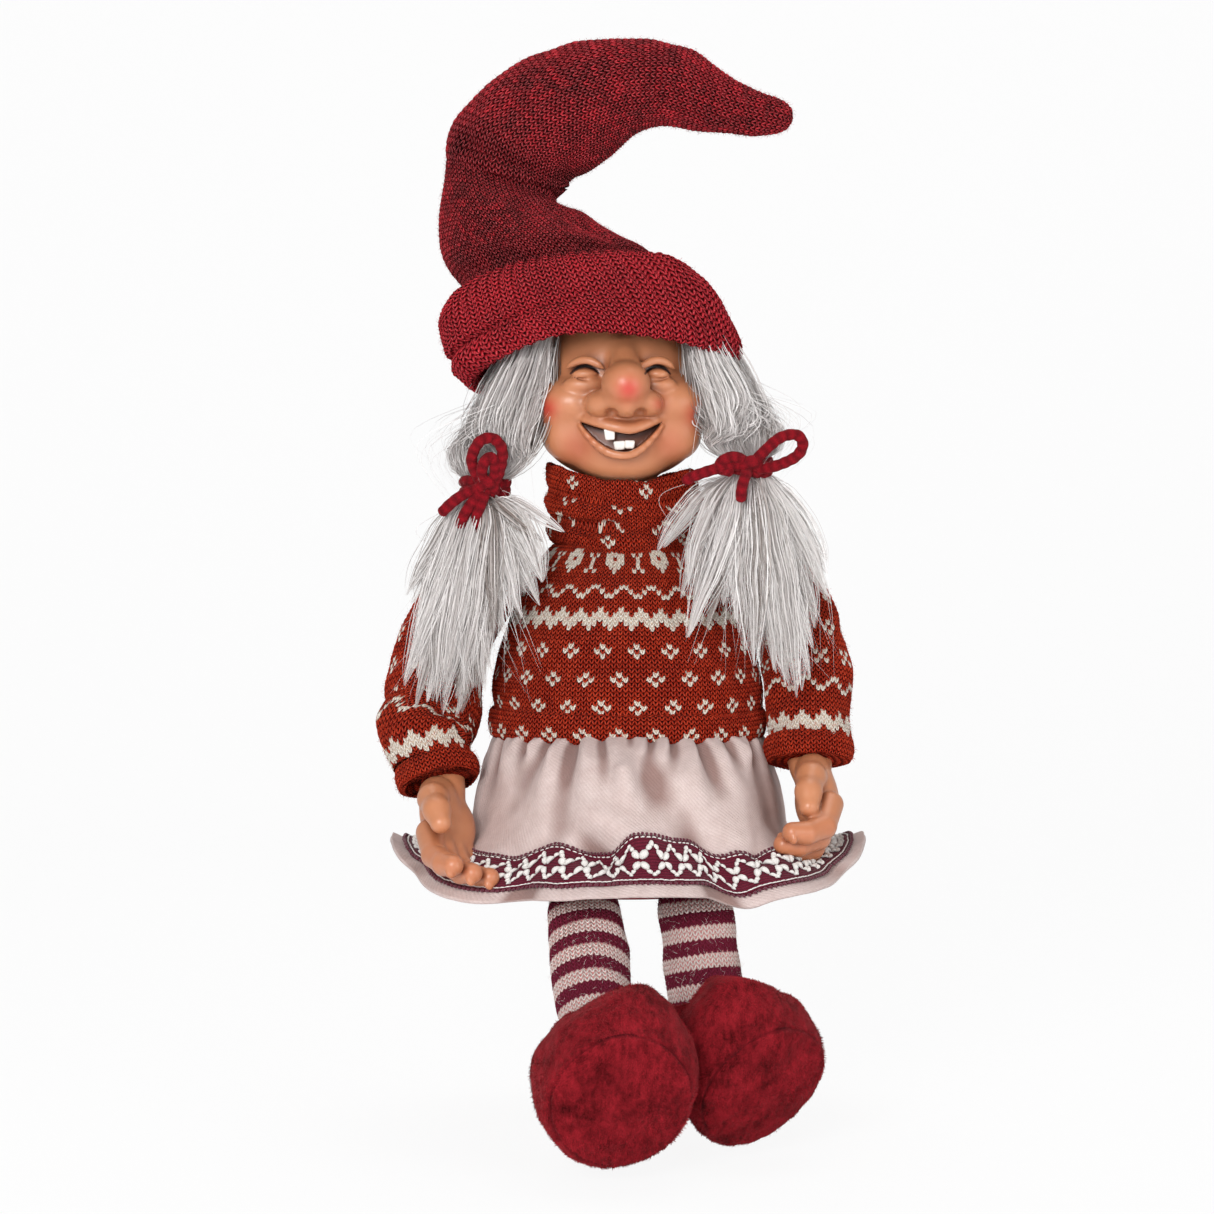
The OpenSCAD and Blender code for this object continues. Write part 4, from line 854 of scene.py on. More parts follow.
def knit_piece(name, grid, normal, wales, figure=None, relief=0.7, wander=0.0, gauge=1.0, glow=0.0):
    """Knitted tube on a smooth grid. `wales` is the stitch count round it, or None where the stitches
    keep their size and run out at a seam at the back; `gauge` is the size of a stitch and `glow` is
    painted light: above 0 it makes the wool lighter, below 0 darker as painted shade."""
    rows, columns = grid.shape[:2]
    t = np.repeat(courses(grid)[:, None], columns, axis=1) / gauge
    if wales:
        s = np.repeat((np.arange(columns) / columns * wales)[None], rows, axis=0)
        step = wales / columns
    else:
        arc = np.linalg.norm(np.roll(grid, -1, axis=1) - grid, axis=-1)
        arc = np.concatenate([np.zeros((rows, 1)), np.cumsum(arc, axis=1)[:, :-1]], axis=1)
        front = int(columns * FRONT)
        # the middle of the front falls on the middle of a stitch, and all counts stay positive
        s = (arc - arc[:, front:front + 1]) / (WALE * gauge) + 1000.5
        step = s[:, -1:] - s[:, -2:-1]
    s = s + wander * noise3(grid, 9, 5, 1)
    t = t + 0.6 * wander * noise3(grid, 11, 6, 1)
    height, owner = stitch(s, t)
    luck = chance(np.floor(s), owner)
    wild = 1 + 0.28 * (luck - 0.5)
    points = grid + normal * (relief * (height * wild - 0.75))[..., None]
    cell = np.floor(s).astype(int)
    mark = np.zeros(height.shape)
    if figure:
        mark = mark + figure(cell % wales, owner.astype(int))
    piece = new_mesh(name, points.reshape(-1, 3), [grid_quads(rows, columns)])
    # painted light and shade: glow lightens (above 0) or darkens (below 0) each stitch's random tone
    tone = np.clip(luck * (1 - np.abs(glow)) + glow, 0, 1)
    paint(piece, "knit", np.stack([mark, 0 * mark, tone], -1).reshape(-1, 3))
    wrap_uv(piece, "stitch", np.concatenate([s, s[:, -1:] + step], 1), np.concatenate([t, t[:, :1]], 1))
    return piece


def wrap_uv(piece, name, u, v):
    """UV map of a wrapped grid from one more column of values than the grid has."""
    def corners(a):
        return np.stack([a[:-1, :-1], a[:-1, 1:], a[1:, 1:], a[1:, :-1]], -1)
    layer = piece.data.uv_layers.new(name=name)
    layer.data.foreach_set("uv", np.stack([corners(u), corners(v)], -1).astype(np.float32).ravel())


def motif(text):
    """Rows of stitches, given from the top, as a set of (wale, course)."""
    lines = text.split("/")
    return {(x, len(lines) - 1 - y) for y, line in enumerate(lines) for x, c in enumerate(line) if c == "X"}


DIAMOND = motif(".X./X.X/.X.")
ROSETTE = motif(".XXX./XXXXX/XX.XX/XXXXX/.XXX./..X..")
HOURGLASS = motif("X.X/.X./.X./.X./X.X")
FLOWER = motif("X.X/.X./X.X")
THICK_WAVE = motif("..X./.XXX/XXXX/XX.X/X...")
THIN_WAVE = motif("..XX../.X..X./X....X")


def fair_isle(bands):
    """Figure from bands of (lowest course, motif, repeat, shift): True on a light stitch."""
    def figure(i, j):
        mark = np.zeros(i.shape, bool)
        for low, cells, repeat, shift in bands:
            x = (i - shift) % repeat
            y = j - low
            for cx, cy in cells:
                mark |= (x == cx % repeat) & (y == cy)
        return mark
    return figure


def fuzz(grid, normal, count, seed):
    """Loose fibres standing off a knitted surface, as thin bent ribbons."""
    r = rng(seed)
    rows, columns = grid.shape[:2]
    j, i = r.integers(1, rows - 1, count), r.integers(0, columns, count)
    base, n = grid[j, i], normal[j, i]
    side = unit(np.cross(n, unit(r.normal(size=(count, 3)))))
    along = unit(np.cross(n, side))
    size = r.uniform(1.2, 3.6, count)[:, None]
    bend = r.uniform(-1, 1, (count, 1))
    lift = r.uniform(0.25, 1.0, (count, 1))
    points = []
    for k in np.linspace(0, 1, 4):
        p = base + n * (0.2 + size * 0.45 * lift * math.sin(math.pi * 0.62 * k)) \
            + side * size * k * 0.8 + along * bend * size * 0.45 * k * k
        w = along * 0.045 * (1 - 0.6 * k)
        points += [p - w, p + w]
    points = np.stack(points, 1).reshape(-1, 3)
    start = (np.arange(count) * 8)[:, None]
    quads = np.concatenate([start + np.array([2 * k, 2 * k + 1, 2 * k + 3, 2 * k + 2]) for k in range(3)])
    return points, quads


def add_fuzz(name, grid, normal, count, seed, material, slot, ride_on):
    """Piece of loose fibres that moves as ride_on says."""
    points, quads = fuzz(grid, normal, count, seed)
    piece = new_mesh(name, points, [quads])
    # the lift keeps loose fibres out of the painted gap shade and gives them the painted highlight
    height = np.tile([0.8, 0.8, 0.9, 0.9, 1, 1, 1, 1], count)
    luck = np.repeat(rng(seed + 1).uniform(0.3, 1.3, count), 8)
    paint(piece, "knit", np.stack([np.zeros(len(points)), height, luck], 1))
    finish_piece(piece, material, None)
    ride_on(piece)


def on_body(body):
    """Lets a piece ride on one body."""
    return lambda piece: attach(piece, body)


def knitted(name, fibre_name, surface, wales, material, slot, nodes, fill, ride_on, fibres, seed, **stitches):
    """Knitting on a surface (grid and normals) and the loose fibres on it."""
    piece = knit_piece(name, *surface, wales, **stitches)
    finish_piece(piece, material, None, nodes)
    ride_on(piece)
    add_fuzz(fibre_name, *surface, fibres, seed, material, slot, ride_on)


# ---------------------------------------------------------------- hat

# Stations of the hat: x, y, z, half-width, half-depth, lean and tilt
BRIM = [
    (-15, 0, 236, 51.5, 47.5, 6.5, 15.5), (-12, 0, 226, 52, 47.5, 5.5, 14.5),
    (-10.5, 0, 220, 53, 48.5, 5.5, 14), (-10, 0, 216.5, 55.2, 50.6, 5.5, 14),
    (-10.4, 0, 217.6, 57.6, 53, 5.5, 14), (-12.4, 0, 222, 59.3, 54.2, 5.7, 14.5),
    (-16, 0, 228.2, 59.8, 54.6, 6, 15), (-18.3, 0, 233.6, 59, 53.6, 6.5, 15.5),
    (-20.3, 0, 238.6, 58.2, 52.6, 7, 16), (-22.4, 0.6, 243.4, 56.3, 51.4, 7.5, 16.5),
    (-24, 1, 247.6, 53, 48.8, 8, 17), (-24.6, 1.5, 250.2, 49.5, 45.6, 8, 17),
    (-24.6, 1.5, 250.4, 46.5, 43, 8, 17)]
CROWN = [
    (-22, 0, 243, 47, 43.5, 6, 15), (-25.5, 0, 252, 46.3, 43, 6, 14), (-30, 0, 259.3, 44.3, 41.6, 5, 13),
    (-37, 0, 267.9, 41, 37, 0, 9), (-44, 0, 279.3, 34.5, 31.5, -5, 5), (-48, 0, 289.3, 29.5, 27, -9, 2),
    (-49.3, 0, 298.5, 27, 23.4, -12, 0)]
TAIL = [
    (-48.6, 0, 295.5, 25.6, 22.6, -12, 0), (-48.4, 0, 300, 28.3, 24.6, -17, 0),
    (-45.5, 0, 309, 28.7, 24.6, -27, 0), (-37.5, 0, 317, 27.8, 24.4, -40, 0),
    (-25, 0, 325, 26.2, 23.3, -52, 0), (-11.5, 0, 331, 23.3, 21.7, -69, 0), (3, 0, 334.5, 19.7, 19.2, -84, 0),
    (18.5, 0, 334.5, 16.5, 16.2, -101, 0), (35, 0, 329, 12.8, 12.6, -104, 0),
    (50, 0, 324.3, 10.2, 10, -103, 0), (61, 0, 322.1, 7.6, 7.4, -103, 0), (66.5, 0, 321.1, 4.6, 4.6, -103, 0),
    (68.3, 0, 320.8, 0.4, 0.4, -103, 0)]
HAT_GAUGE = 1.12
BRIM_COLUMNS, CROWN_COLUMNS, TAIL_COLUMNS = 840, 640, 420
BRIM_RIBS = 60
FOLD_LINE = [(-66, -17, 309), (-52, -24.5, 302), (-36, -26, 296), (-24, -17, 292.5), (-20, 0, 291.5),
             (-24, 17, 293)]


def shift_out(grid, push):
    """Moves a grid along its own normals and returns it with the new normals."""
    grid = grid + grid_normals(grid) * push[..., None]
    return grid, grid_normals(grid)


def across_fold(piece):
    """Bakes the piece's transform into its mesh, so it rides on no body."""
    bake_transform(piece)


def make_hat(material):
    """Rolled brim, crown and the tail that lies over it."""
    make_brim(material)
    make_crown(material)
    make_tail(material)


def make_brim(material):
    """Ribbed brim, rolled up outside, with a dent on the left where it folds over."""
    grid = fine_grid(BRIM, leaning_rings, BRIM_COLUMNS)
    angle = TAU * np.arange(BRIM_COLUMNS) / BRIM_COLUMNS
    level = np.linspace(0, 1, len(grid))[:, None]
    edge = np.exp(-((level - 0.33) / 0.26)**2)
    grid[..., 2] += edge * (4.2 * np.exp(-((angle - 4.45) / 0.45)**2)
                            - 4.5 * np.exp(-((angle - 5.75) / 0.5)**2))
    left = np.clip(-np.cos(angle - 0.45), 0, 1)[None] ** 1.5
    roll = 0.70 - 0.16 * left
    push = -3.4 * left * np.exp(-((level - roll) / 0.03)**2)
    push = push + 1.3 * left * np.exp(-((level - roll + 0.09) / 0.06)**2)
    outer = np.clip((level - 0.3) / 0.1, 0, 1)
    push = push + 0.9 * outer * noise3(grid, 24, 3) + 0.5 * outer * noise3(grid, 9, 4, 1)
    lean = 0.9 * level + 0.25 * noise3(grid, 25, 7, 1)
    push = push + 0.8 * outer * np.cos(BRIM_RIBS * angle[None] + TAU * lean)
    # painted light: glow makes the brim's wool lighter than the crown's
    knitted("hat_brim", "hat_brim_fuzz", shift_out(grid, push), 2 * BRIM_RIBS, material, "hat_knit",
            ("hat_cuff",), 0.3, on_body("head"), 5200, 21, wander=0.12, gauge=1.1, glow=0.8)


def make_crown(material):
    """Crown from under the brim up to the fold, with the seam's dent above the brim, and painted shade
    in that dent and along the fold.
    """
    grid = fine_grid(CROWN, leaning_rings, CROWN_COLUMNS)
    push = 1.3 * noise3(grid, 30, 11) + 0.5 * noise3(grid, 12, 12, 1)
    push += crease(grid, FOLD_LINE, 6, -9)
    push += crease(grid, [(-60, -30, 287), (-45, -36, 281), (-28, -36, 275)], 7, 1.8)
    push += crease(grid, [(-66, -28, 268), (-50, -40, 262), (-20, -44, 257)], 4, -2.0)
    push += crease(grid, [(-2, -30, 268), (-12, -33, 274), (-24, -32, 279)], 3.5, -1.6)
    level = np.linspace(0, 1, len(grid))[:, None]
    push = push - 3.2 * np.exp(-((level - 0.22) / 0.09)**2)
    grid, normal = shift_out(grid, push * np.clip(level / 0.12, 0, 1) * np.clip((1.02 - level) / 0.06, 0, 1))
    # painted shade along the fold and just above the brim
    painted_shade = -0.9 * np.exp(-(near_line(grid, FOLD_LINE) / 9)**2) - 0.5 * np.exp(-((level - 0.22) / 0.12)**2)
    knitted("hat_crown", "hat_crown_fuzz", (grid, normal), None, material, "hat_knit",
            ("hat_crown", "hat_fill"), 0.75, across_fold, 3600, 22,
            wander=0.15, gauge=HAT_GAUGE, glow=np.clip(painted_shade, -0.95, 0))


def make_tail(material):
    """Bent tail of the hat, from the fold to its tip."""
    grid = fine_grid(TAIL, leaning_rings, TAIL_COLUMNS)
    push = 1.0 * noise3(grid, 26, 13) + 0.55 * noise3(grid, 10, 14, 1)
    push += crease(grid, FOLD_LINE, 4, -5)
    push += crease(grid, [(-60, -22, 316), (-44, -28, 308), (-29, -22, 302)], 6, 3.0)
    push += crease(grid, [(33, -8, 318), (42, -9, 316), (52, -5, 315)], 4, 1.2)
    level = np.linspace(0, 1, len(grid))[:, None]
    grid, normal = shift_out(grid, push * np.clip((1 - level) / 0.12, 0.25, 1))
    # painted shade along the fold
    painted_shade = -0.8 * np.exp(-(near_line(grid, FOLD_LINE) / 8)**2)
    knitted("hat_tail", "hat_tail_fuzz", (grid, normal), None, material, "hat_knit",
            ("hat_tail", "hat_tail_fill"), 0.7, across_fold, 4200, 23, wander=0.15, gauge=HAT_GAUGE,
            glow=painted_shade)


# ---------------------------------------------------------------- sweater

def level_rings(rows, columns):
    """Rings for rows of x, y, z, half-width, half-depth that lie level."""
    flat = np.concatenate([rows, np.zeros((len(rows), 2))], 1)
    return leaning_rings(flat, columns)


WALES_ROUND = 144
FRONT_WALE = int(WALES_ROUND * FRONT)
SLEEVE_WALES = 48


def make_sweater(material):
    """Body of the sweater with its bands of figures, then its hem and collar."""
    low, high = box_mm("sweater_body")
    wide, deep = (high - low)[:2] / 2
    top = high[2]
    rows = [(0, 0, low[2] - 2, wide - 1, deep - 1), (0, 0, low[2] + 6, wide, deep),
            (0, 0, 91, wide - 1, deep - 0.8), (0, 0, 102.8, 53.3, 41.8), (0, 0, 114.6, 49.2, 37.4),
            (0, 0, 124, 45.6, 34), (0, 0, 131, 41.5, 31.5), (0, 0, top - 0.5, 36.5, 30),
            (-0.3, -0.3, top + 4.5, 32.5, 28.3), (-0.5, -0.5, top + 8, 29, 25)]
    grid = fine_grid(rows, level_rings, WALES_ROUND * SAMPLES)
    push = 1.2 * noise3(grid, 26, 31) + 0.45 * noise3(grid, 10, 32, 1)
    push += crease(grid, [(-48, -26, 122), (-34, -34, 119.5), (-20, -37, 121)], 4, -2.8)
    push += crease(grid, [(-44, -30, 127), (-30, -33, 127.5), (-14, -35, 129)], 5, 1.8)
    push += crease(grid, [(-50, -30, 101), (-36, -40, 96), (-18, -44, 92)], 5, -1.8)
    push += crease(grid, [(20, -36, 119), (34, -31, 121), (46, -20, 124)], 5, -2.0)
    push += crease(grid, [(12, -44, 99), (30, -41, 101), (46, -30, 106)], 6, -1.5)
    push += crease(grid, [(-30, 36, 112), (0, 40, 104), (34, 34, 113)], 6, -1.8)
    figure = fair_isle([
        (1, DIAMOND, 6, FRONT_WALE), (7, DIAMOND, 6, FRONT_WALE + 3), (13, DIAMOND, 6, FRONT_WALE),
        (19, THICK_WAVE, 4, FRONT_WALE), (26, THIN_WAVE, 6, FRONT_WALE + 2),
        (32, ROSETTE, 12, FRONT_WALE - 6), (32, HOURGLASS, 12, FRONT_WALE + 1)])
    knitted("sweater_body", "sweater_fuzz", shift_out(grid, push), WALES_ROUND, material, "sweater_knit",
            ("sweater_body", "torso_cloth", "torso_fill", "pellet_bag"), 0.6, on_body("torso"), 4200, 41,
            figure=figure, wander=0.06)
    make_hem(material, wide, deep)
    make_collar(material)


def make_hem(material, wide, deep):
    """Turned-up band at the bottom of the sweater."""
    low, high = box_mm("sweater_hem")
    z0, z1 = low[2], high[2]
    mid = (z0 + z1) / 2
    rows = [(0, 0, mid + 3, wide - 3.2, deep - 3.2), (0, 0, z0 + 2.5, wide - 2.6, deep - 2.6),
            (0, 0, z0 + 0.1, wide - 1.2, deep - 1.2), (0, 0, z0 + 1.2, wide + 0.4, deep + 0.4),
            (0, 0, z0 + 4.5, wide + 1.2, deep + 1.2), (0, 0, mid + 1.5, wide + 1.2, deep + 1.2),
            (0, 0, z1 - 2, wide + 0.8, deep + 0.8), (0, 0, z1 - 0.1, wide - 0.4, deep - 0.4),
            (0, 0, z1 - 0.6, wide - 1.8, deep - 1.8)]
    grid = fine_grid(rows, level_rings, WALES_ROUND * SAMPLES)
    push = 0.8 * noise3(grid, 22, 33) + 0.3 * noise3(grid, 9, 34, 1)
    grid, normal = shift_out(grid, push)
    grid[..., 2] += 0.9 * noise3(grid * np.array([1, 1, 0]), 30, 35, 1)
    edge = int(courses(grid)[np.argmin(grid[:, 0, 2])])
    figure = fair_isle([(edge + 1, DIAMOND, 6, FRONT_WALE + 3)])
    piece = knit_piece("sweater_hem", grid, grid_normals(grid), WALES_ROUND, figure, wander=0.05)
    finish_piece(piece, material, "torso", ("sweater_hem",))
    add_fuzz("hem_fuzz", grid, normal, 1500, 42, material, "sweater_knit", on_body("torso"))


def make_collar(material):
    """Soft roll neck that sags into folds and turns in under the chin."""
    low, high = box_mm("sweater_collar")
    z0, z1 = low[2] + 5.0, high[2] - 2.0
    rows = [(0, 0, z0 + 1.5, 27, 22), (-0.3, 0, z0 - 1, 30.5, 25.5), (-0.6, -0.5, z0 + 1.5, 32.6, 28.8),
            (-0.9, -1, z0 + 4.5, 33.4, 30.2), (-1.2, -1, z0 + 7.5, 32.0, 28.8),
            (-1.5, -1, z0 + 9.5, 30.8, 27.6), (-1.8, -1, z0 + 11.5, 32.6, 30.2),
            (-2.2, -1, z0 + 15, 33.8, 31.8), (-2.6, -0.8, z0 + 18, 32.6, 30.6),
            (-2.8, -0.6, z0 + 20, 31.2, 29.4), (-3, -0.5, z0 + 22.5, 31.8, 30.4),
            (-3.2, -0.5, z0 + 25.5, 31.6, 30.2), (-3.4, -0.5, z1 - 0.8, 31.2, 30),
            (-3.4, -0.5, z1 + 0.6, 29.6, 28.6), (-3.4, -0.5, z1 - 1.2, 28, 27.2),
            (-3.4, -0.5, z1 - 8, 27, 26.2)]
    wales = 96
    grid = fine_grid(rows, level_rings, wales * SAMPLES)
    angle = TAU * np.arange(wales * SAMPLES) / (wales * SAMPLES)
    level = np.clip((grid[:, 0, 2] - z0) / (z1 - z0), 0, 1)[:, None]
    grid[..., 2] += level * (3.6 * np.cos(2 * angle) - 1.2 * np.sin(angle + 0.9))
    grid[..., 2] += (1.5 * np.sin(angle * 3 + 1) * level * (1 - level) * 2
                     + 1.0 * noise3(grid, 18, 36, 1) * level)
    grid[..., 2] += (1 - level) * (2.0 * np.cos(2 * angle) + 1.2 * np.sin(angle * 2 + 0.6))
    push = 1.2 * noise3(grid, 15, 37) + 0.4 * noise3(grid, 7, 38, 1)
    push += crease(grid, [(-30, -14, 154), (-16, -27, 151), (-4, -31, 153), (14, -29, 155), (28, -18, 154)],
                   2.6, -2.2)
    push += crease(grid, [(-28, -16, 163), (-10, -30, 164), (8, -31, 165), (24, -20, 162)], 3, -1.6)
    figure = fair_isle([(4, DIAMOND, 16, 3), (8, THIN_WAVE, 12, 66), (13, motif("X..X/.X.."), 12, 70),
                        (17, DIAMOND, 16, 60), (21, motif("X..X./.X.X."), 24, 74)])
    knitted("sweater_collar", "collar_fuzz", shift_out(grid, push), wales, material, "sweater_knit",
            ("sweater_collar", "neck_tie"), 0.3, on_body("torso"), 2200, 43, figure=figure, wander=0.12)


def arm_shapes():
    """Stations of the two sleeves, from the band up to the shoulder and into the side of the sweater."""
    left = [(-81.6, -24.6, 54.6, 17.2, 17.2), (-84.6, -19.6, 67, 19.8, 19.6), (-81, -15, 74, 19.4, 19.2),
            (-81, -9, 87, 19.6, 19.2), (-76, -3, 104, 18.6, 18.2), (-67, 1, 119, 17.6, 17.4),
            (-56, 2, 129, 15.6, 16.6), (-44, 2, 132.5, 10.5, 14)]
    right = [(75.2, -15, 62.4, 17, 17), (75.1, -11, 76, 17.2, 17.2), (75, -5, 92, 17.6, 17.4),
             (72, 0, 108, 17.6, 17.4), (66, 2, 120, 17.4, 17.2), (56, 2, 129, 15.6, 16.6),
             (44, 2, 132.5, 10.5, 14)]
    return left, right


SLEEVE_FIGURE = fair_isle([(0, THICK_WAVE, 4, 0), (9, THIN_WAVE, 6, 2), (15, FLOWER, 6, 1),
                           (21, DIAMOND, 6, 4), (27, DIAMOND, 6, 1), (33, FLOWER, 12, 0)])


def make_sleeve(side, stations, material, folds, seed):
    """Sleeve with its folds."""
    grid = fine_grid(stations, swept_rings, SLEEVE_WALES * SAMPLES)
    push = 1.5 * noise3(grid, 19, seed) + 0.5 * noise3(grid, 8, seed + 1, 1)
    for line, width, depth in folds:
        push += crease(grid, line, width, depth)

    def across_shoulder(piece):
        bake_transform(piece)
    knitted("sleeve_" + side, "sleeve_fuzz_" + side, shift_out(grid, push), SLEEVE_WALES, material,
            "sweater_knit", ("sleeve_" + side, "arm_fill_" + side), 0.6, across_shoulder, 2200, seed + 2,
            figure=SLEEVE_FIGURE, wander=0.08)


def make_cuff(side, rows, figure, material, seed):
    """Turned-up band at the end of a sleeve."""
    grid = fine_grid(rows, swept_rings, SLEEVE_WALES * SAMPLES)
    push = 0.6 * noise3(grid, 14, seed) + 0.3 * noise3(grid, 7, seed + 1, 1)
    knitted("cuff_" + side, "cuff_fuzz_" + side, shift_out(grid, push), SLEEVE_WALES, material,
            "sweater_knit", ("cuff_" + side,), 0.2, on_body("arm_" + side), 700, seed + 2, figure=figure,
            wander=0.06)


def cuff_rows(start, toward, profile):
    """Stations of a cuff from its profile of distance along the arm and radius."""
    start, d = np.array(start, float), unit(np.array(toward, float) - np.array(start, float))
    return [(*(start + along * d), r, r) for along, r in profile]


def make_sleeves(material):
    """Both sleeves with the folds read off the photograph, and both cuffs."""
    left, right = arm_shapes()
    make_sleeve("left", left, material, [
        ([(-98, -20, 78), (-86, -34, 74), (-70, -30, 80)], 3.5, -2.0),
        ([(-96, -12, 92), (-82, -27, 88), (-68, -20, 94)], 4, -1.8),
        ([(-98, -24, 66), (-86, -38, 62), (-70, -34, 66)], 3.2, -1.6),
        ([(-90, 6, 96), (-80, 12, 88), (-70, 10, 92)], 4, -1.6)], 51)
    make_sleeve("right", right, material, [
        ([(62, -24, 84), (76, -22, 80), (90, -12, 84)], 4, -1.8),
        ([(60, -22, 70), (76, -28, 68), (90, -18, 72)], 3.2, -1.5),
        ([(62, 10, 88), (76, 14, 84), (88, 8, 90)], 4, -1.6)], 61)
    make_cuff("left", cuff_rows((-78, -28, 46), (-85.1, -15, 72), [
        (4, 14), (0.8, 14.6), (0, 16), (1.2, 17.3), (4.5, 17.9), (8, 17.3), (9.2, 16.2), (9.4, 14.8)]),
        fair_isle([(3, THICK_WAVE, 4, 0)]), material, 71)
    make_cuff("right", cuff_rows((75, -18, 54), (75, -9, 80), [
        (5, 13.6), (1.2, 14.4), (0, 16), (1.2, 17.6), (4.5, 18.6), (8.4, 18.3), (10.2, 17), (10.4, 15.4)]),
        fair_isle([(5, DIAMOND, 8, 2)]), material, 81)


# ---------------------------------------------------------------- legs and boots

HIPS = {"left": (-19, -48.6, 6), "right": (26, -46.8, 6)}
SOLES = {"left": (-3.5, -138, -63.5), "right": (53.5, -93, -67)}
FACING = {"left": (12, 20), "right": (32, 29)}
BOOT_HEIGHT = 46
LEAN = {"left": 9.0, "right": -11.0}  # mm that the top of each boot's toe leans over
LEG_RADIUS = 15
LEG_WALES = 40


def boot_axes(side):
    """Directions of a boot: across the sole, towards the heel, and from the sole up to the ankle."""
    yaw, pitch = np.radians(FACING[side])
    across = np.array([math.cos(yaw), math.sin(yaw), 0])
    up = np.array([-math.sin(yaw) * math.cos(pitch), math.cos(yaw) * math.cos(pitch), math.sin(pitch)])
    return across, np.cross(up, across), up


def ankle(side):
    """Top of a boot, where the leg goes in."""
    return np.array(SOLES[side], float) + BOOT_HEIGHT * boot_axes(side)[2]


def stripes(i, j):
    """Bands of burgundy between wider bands of cream."""
    return (j % 6) >= 3.0


def make_leg(side, material, seed):
    """Striped stocking leg from inside the boot to the seat."""
    foot, hip = ankle(side), np.array(HIPS[side], float)
    up = unit(hip - foot)
    start = foot - 6 * up
    rows = []
    for share, a, b in ((0, 1, 1), (0.15, 1, 1), (0.35, 1.03, 1.02), (0.55, 1.03, 1.02), (0.72, 1.02, 0.98),
                        (0.86, 1, 0.72), (1, 0.84, 0.26)):
        rows.append((*(start + share * (hip - start)), LEG_RADIUS * a, LEG_RADIUS * b))
    grid = fine_grid(rows, swept_rings, LEG_WALES * SAMPLES)
    push = 0.9 * noise3(grid, 17, seed) + 0.35 * noise3(grid, 8, seed + 1, 1)

    def across_hip(piece):
        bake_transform(piece)
    knitted("leg_" + side, "leg_fuzz_" + side, shift_out(grid, push), LEG_WALES, material, "leg_knit",
            ("leg_cloth_" + side, "leg_fill_" + side), 0.6, across_hip, 900, seed + 2,
            figure=stripes, relief=0.5, wander=0.05)


SOLE_HALF_WIDTH, SOLE_HALF_LENGTH = 29.0, 30.0
BOOT_COLUMNS, UPPER_ROWS, SOLE_ROWS = 330, 132, 70
# Step along the leg, radius and share of the boot's own outline, for the roll at the ankle
ANKLE_ROWS = [(-4, 19.6, 0.5), (0, 18.9, 0.1), (3, 18.4, 0), (4.2, 17.4, 0), (3.4, 16.2, 0), (0, 15.8, 0)]
# Height as a share of the boot, bulge and lean towards the heel in mm
BOOT_ROWS = [(-0.02, -1.6, 0), (0.02, -0.4, 0), (0.07, 1.0, 0), (0.16, 2.7, -1.5), (0.26, 3.5, -3.2),
             (0.36, 3.8, -4.6), (0.47, 3.1, -5), (0.58, 0.9, -4.6), (0.68, -2.4, -3.6), (0.78, -6.4, -2.2)]


def make_boot(side, material, seed):
    """Plush upper with its ankle roll and toe seam, then the sole."""
    across, heel, up = boot_axes(side)
    sole = np.array(SOLES[side], float)
    leg = unit(np.array(HIPS[side], float) - ankle(side))
    across2 = unit(across - (across @ leg) * leg)
    heel2 = np.cross(leg, across2)
    rows = []
    for h, bulge, lean in BOOT_ROWS:
        rows.append([*(sole + h * BOOT_HEIGHT * up + lean * heel), *across, *heel,
                     SOLE_HALF_WIDTH + bulge, SOLE_HALF_LENGTH + bulge, np.clip(h / 0.5, 0, 1)])
    for step, r, share in ANKLE_ROWS:
        rows.append([*(ankle(side) + step * leg), *across2, *heel2, r, r, share])
    rows = even_rows(rows, UPPER_ROWS, 12)[0]
    grid = rings(rows[:, :3], unit(rows[:, 3:6]), unit(rows[:, 6:9]), rows[:, 9], rows[:, 10], BOOT_COLUMNS)
    angle = TAU * np.arange(BOOT_COLUMNS) / BOOT_COLUMNS
    grid = boot_outline(grid, angle[None], rows[:, None, :3], across, heel, rows[:, 11:12], side)
    push = (0.9 * noise3(grid, 17, seed) + 0.45 * noise3(grid, 6, seed + 1)
            + 0.16 * noise3(grid, 1.7, seed + 2))
    level = np.linspace(0, 1, UPPER_ROWS)[:, None]
    seam = np.exp(-(level / 0.022)**2)
    toe = np.abs((angle - 0.5 * math.pi) % TAU - math.pi)
    toe_seam = np.exp(-(toe / 0.02)**2)[None] * (level > 0.03)
    grid, normal = shift_out(grid, push - 1.9 * seam - 0.35 * toe_seam)
    piece = new_mesh("boot_upper_" + side, grid.reshape(-1, 3), [grid_quads(UPPER_ROWS, BOOT_COLUMNS)])
    # painted shade in the groove of the sole seam and, more lightly, the toe seam
    dark = np.clip(seam + toe_seam * 0.25, 0, 1)
    paint(piece, "cloth", np.stack([dark.ravel(), 0 * dark.ravel(), 0 * dark.ravel()], 1))
    finish_piece(piece, material, "leg_" + side, ("boot_upper_" + side, "boot_fill_" + side))
    add_pile("boot_pile_" + side, grid, normal, 30000, seed + 5, material, "leg_" + side, heel)
    make_sole(side, material, seed, sole, across, heel, up)


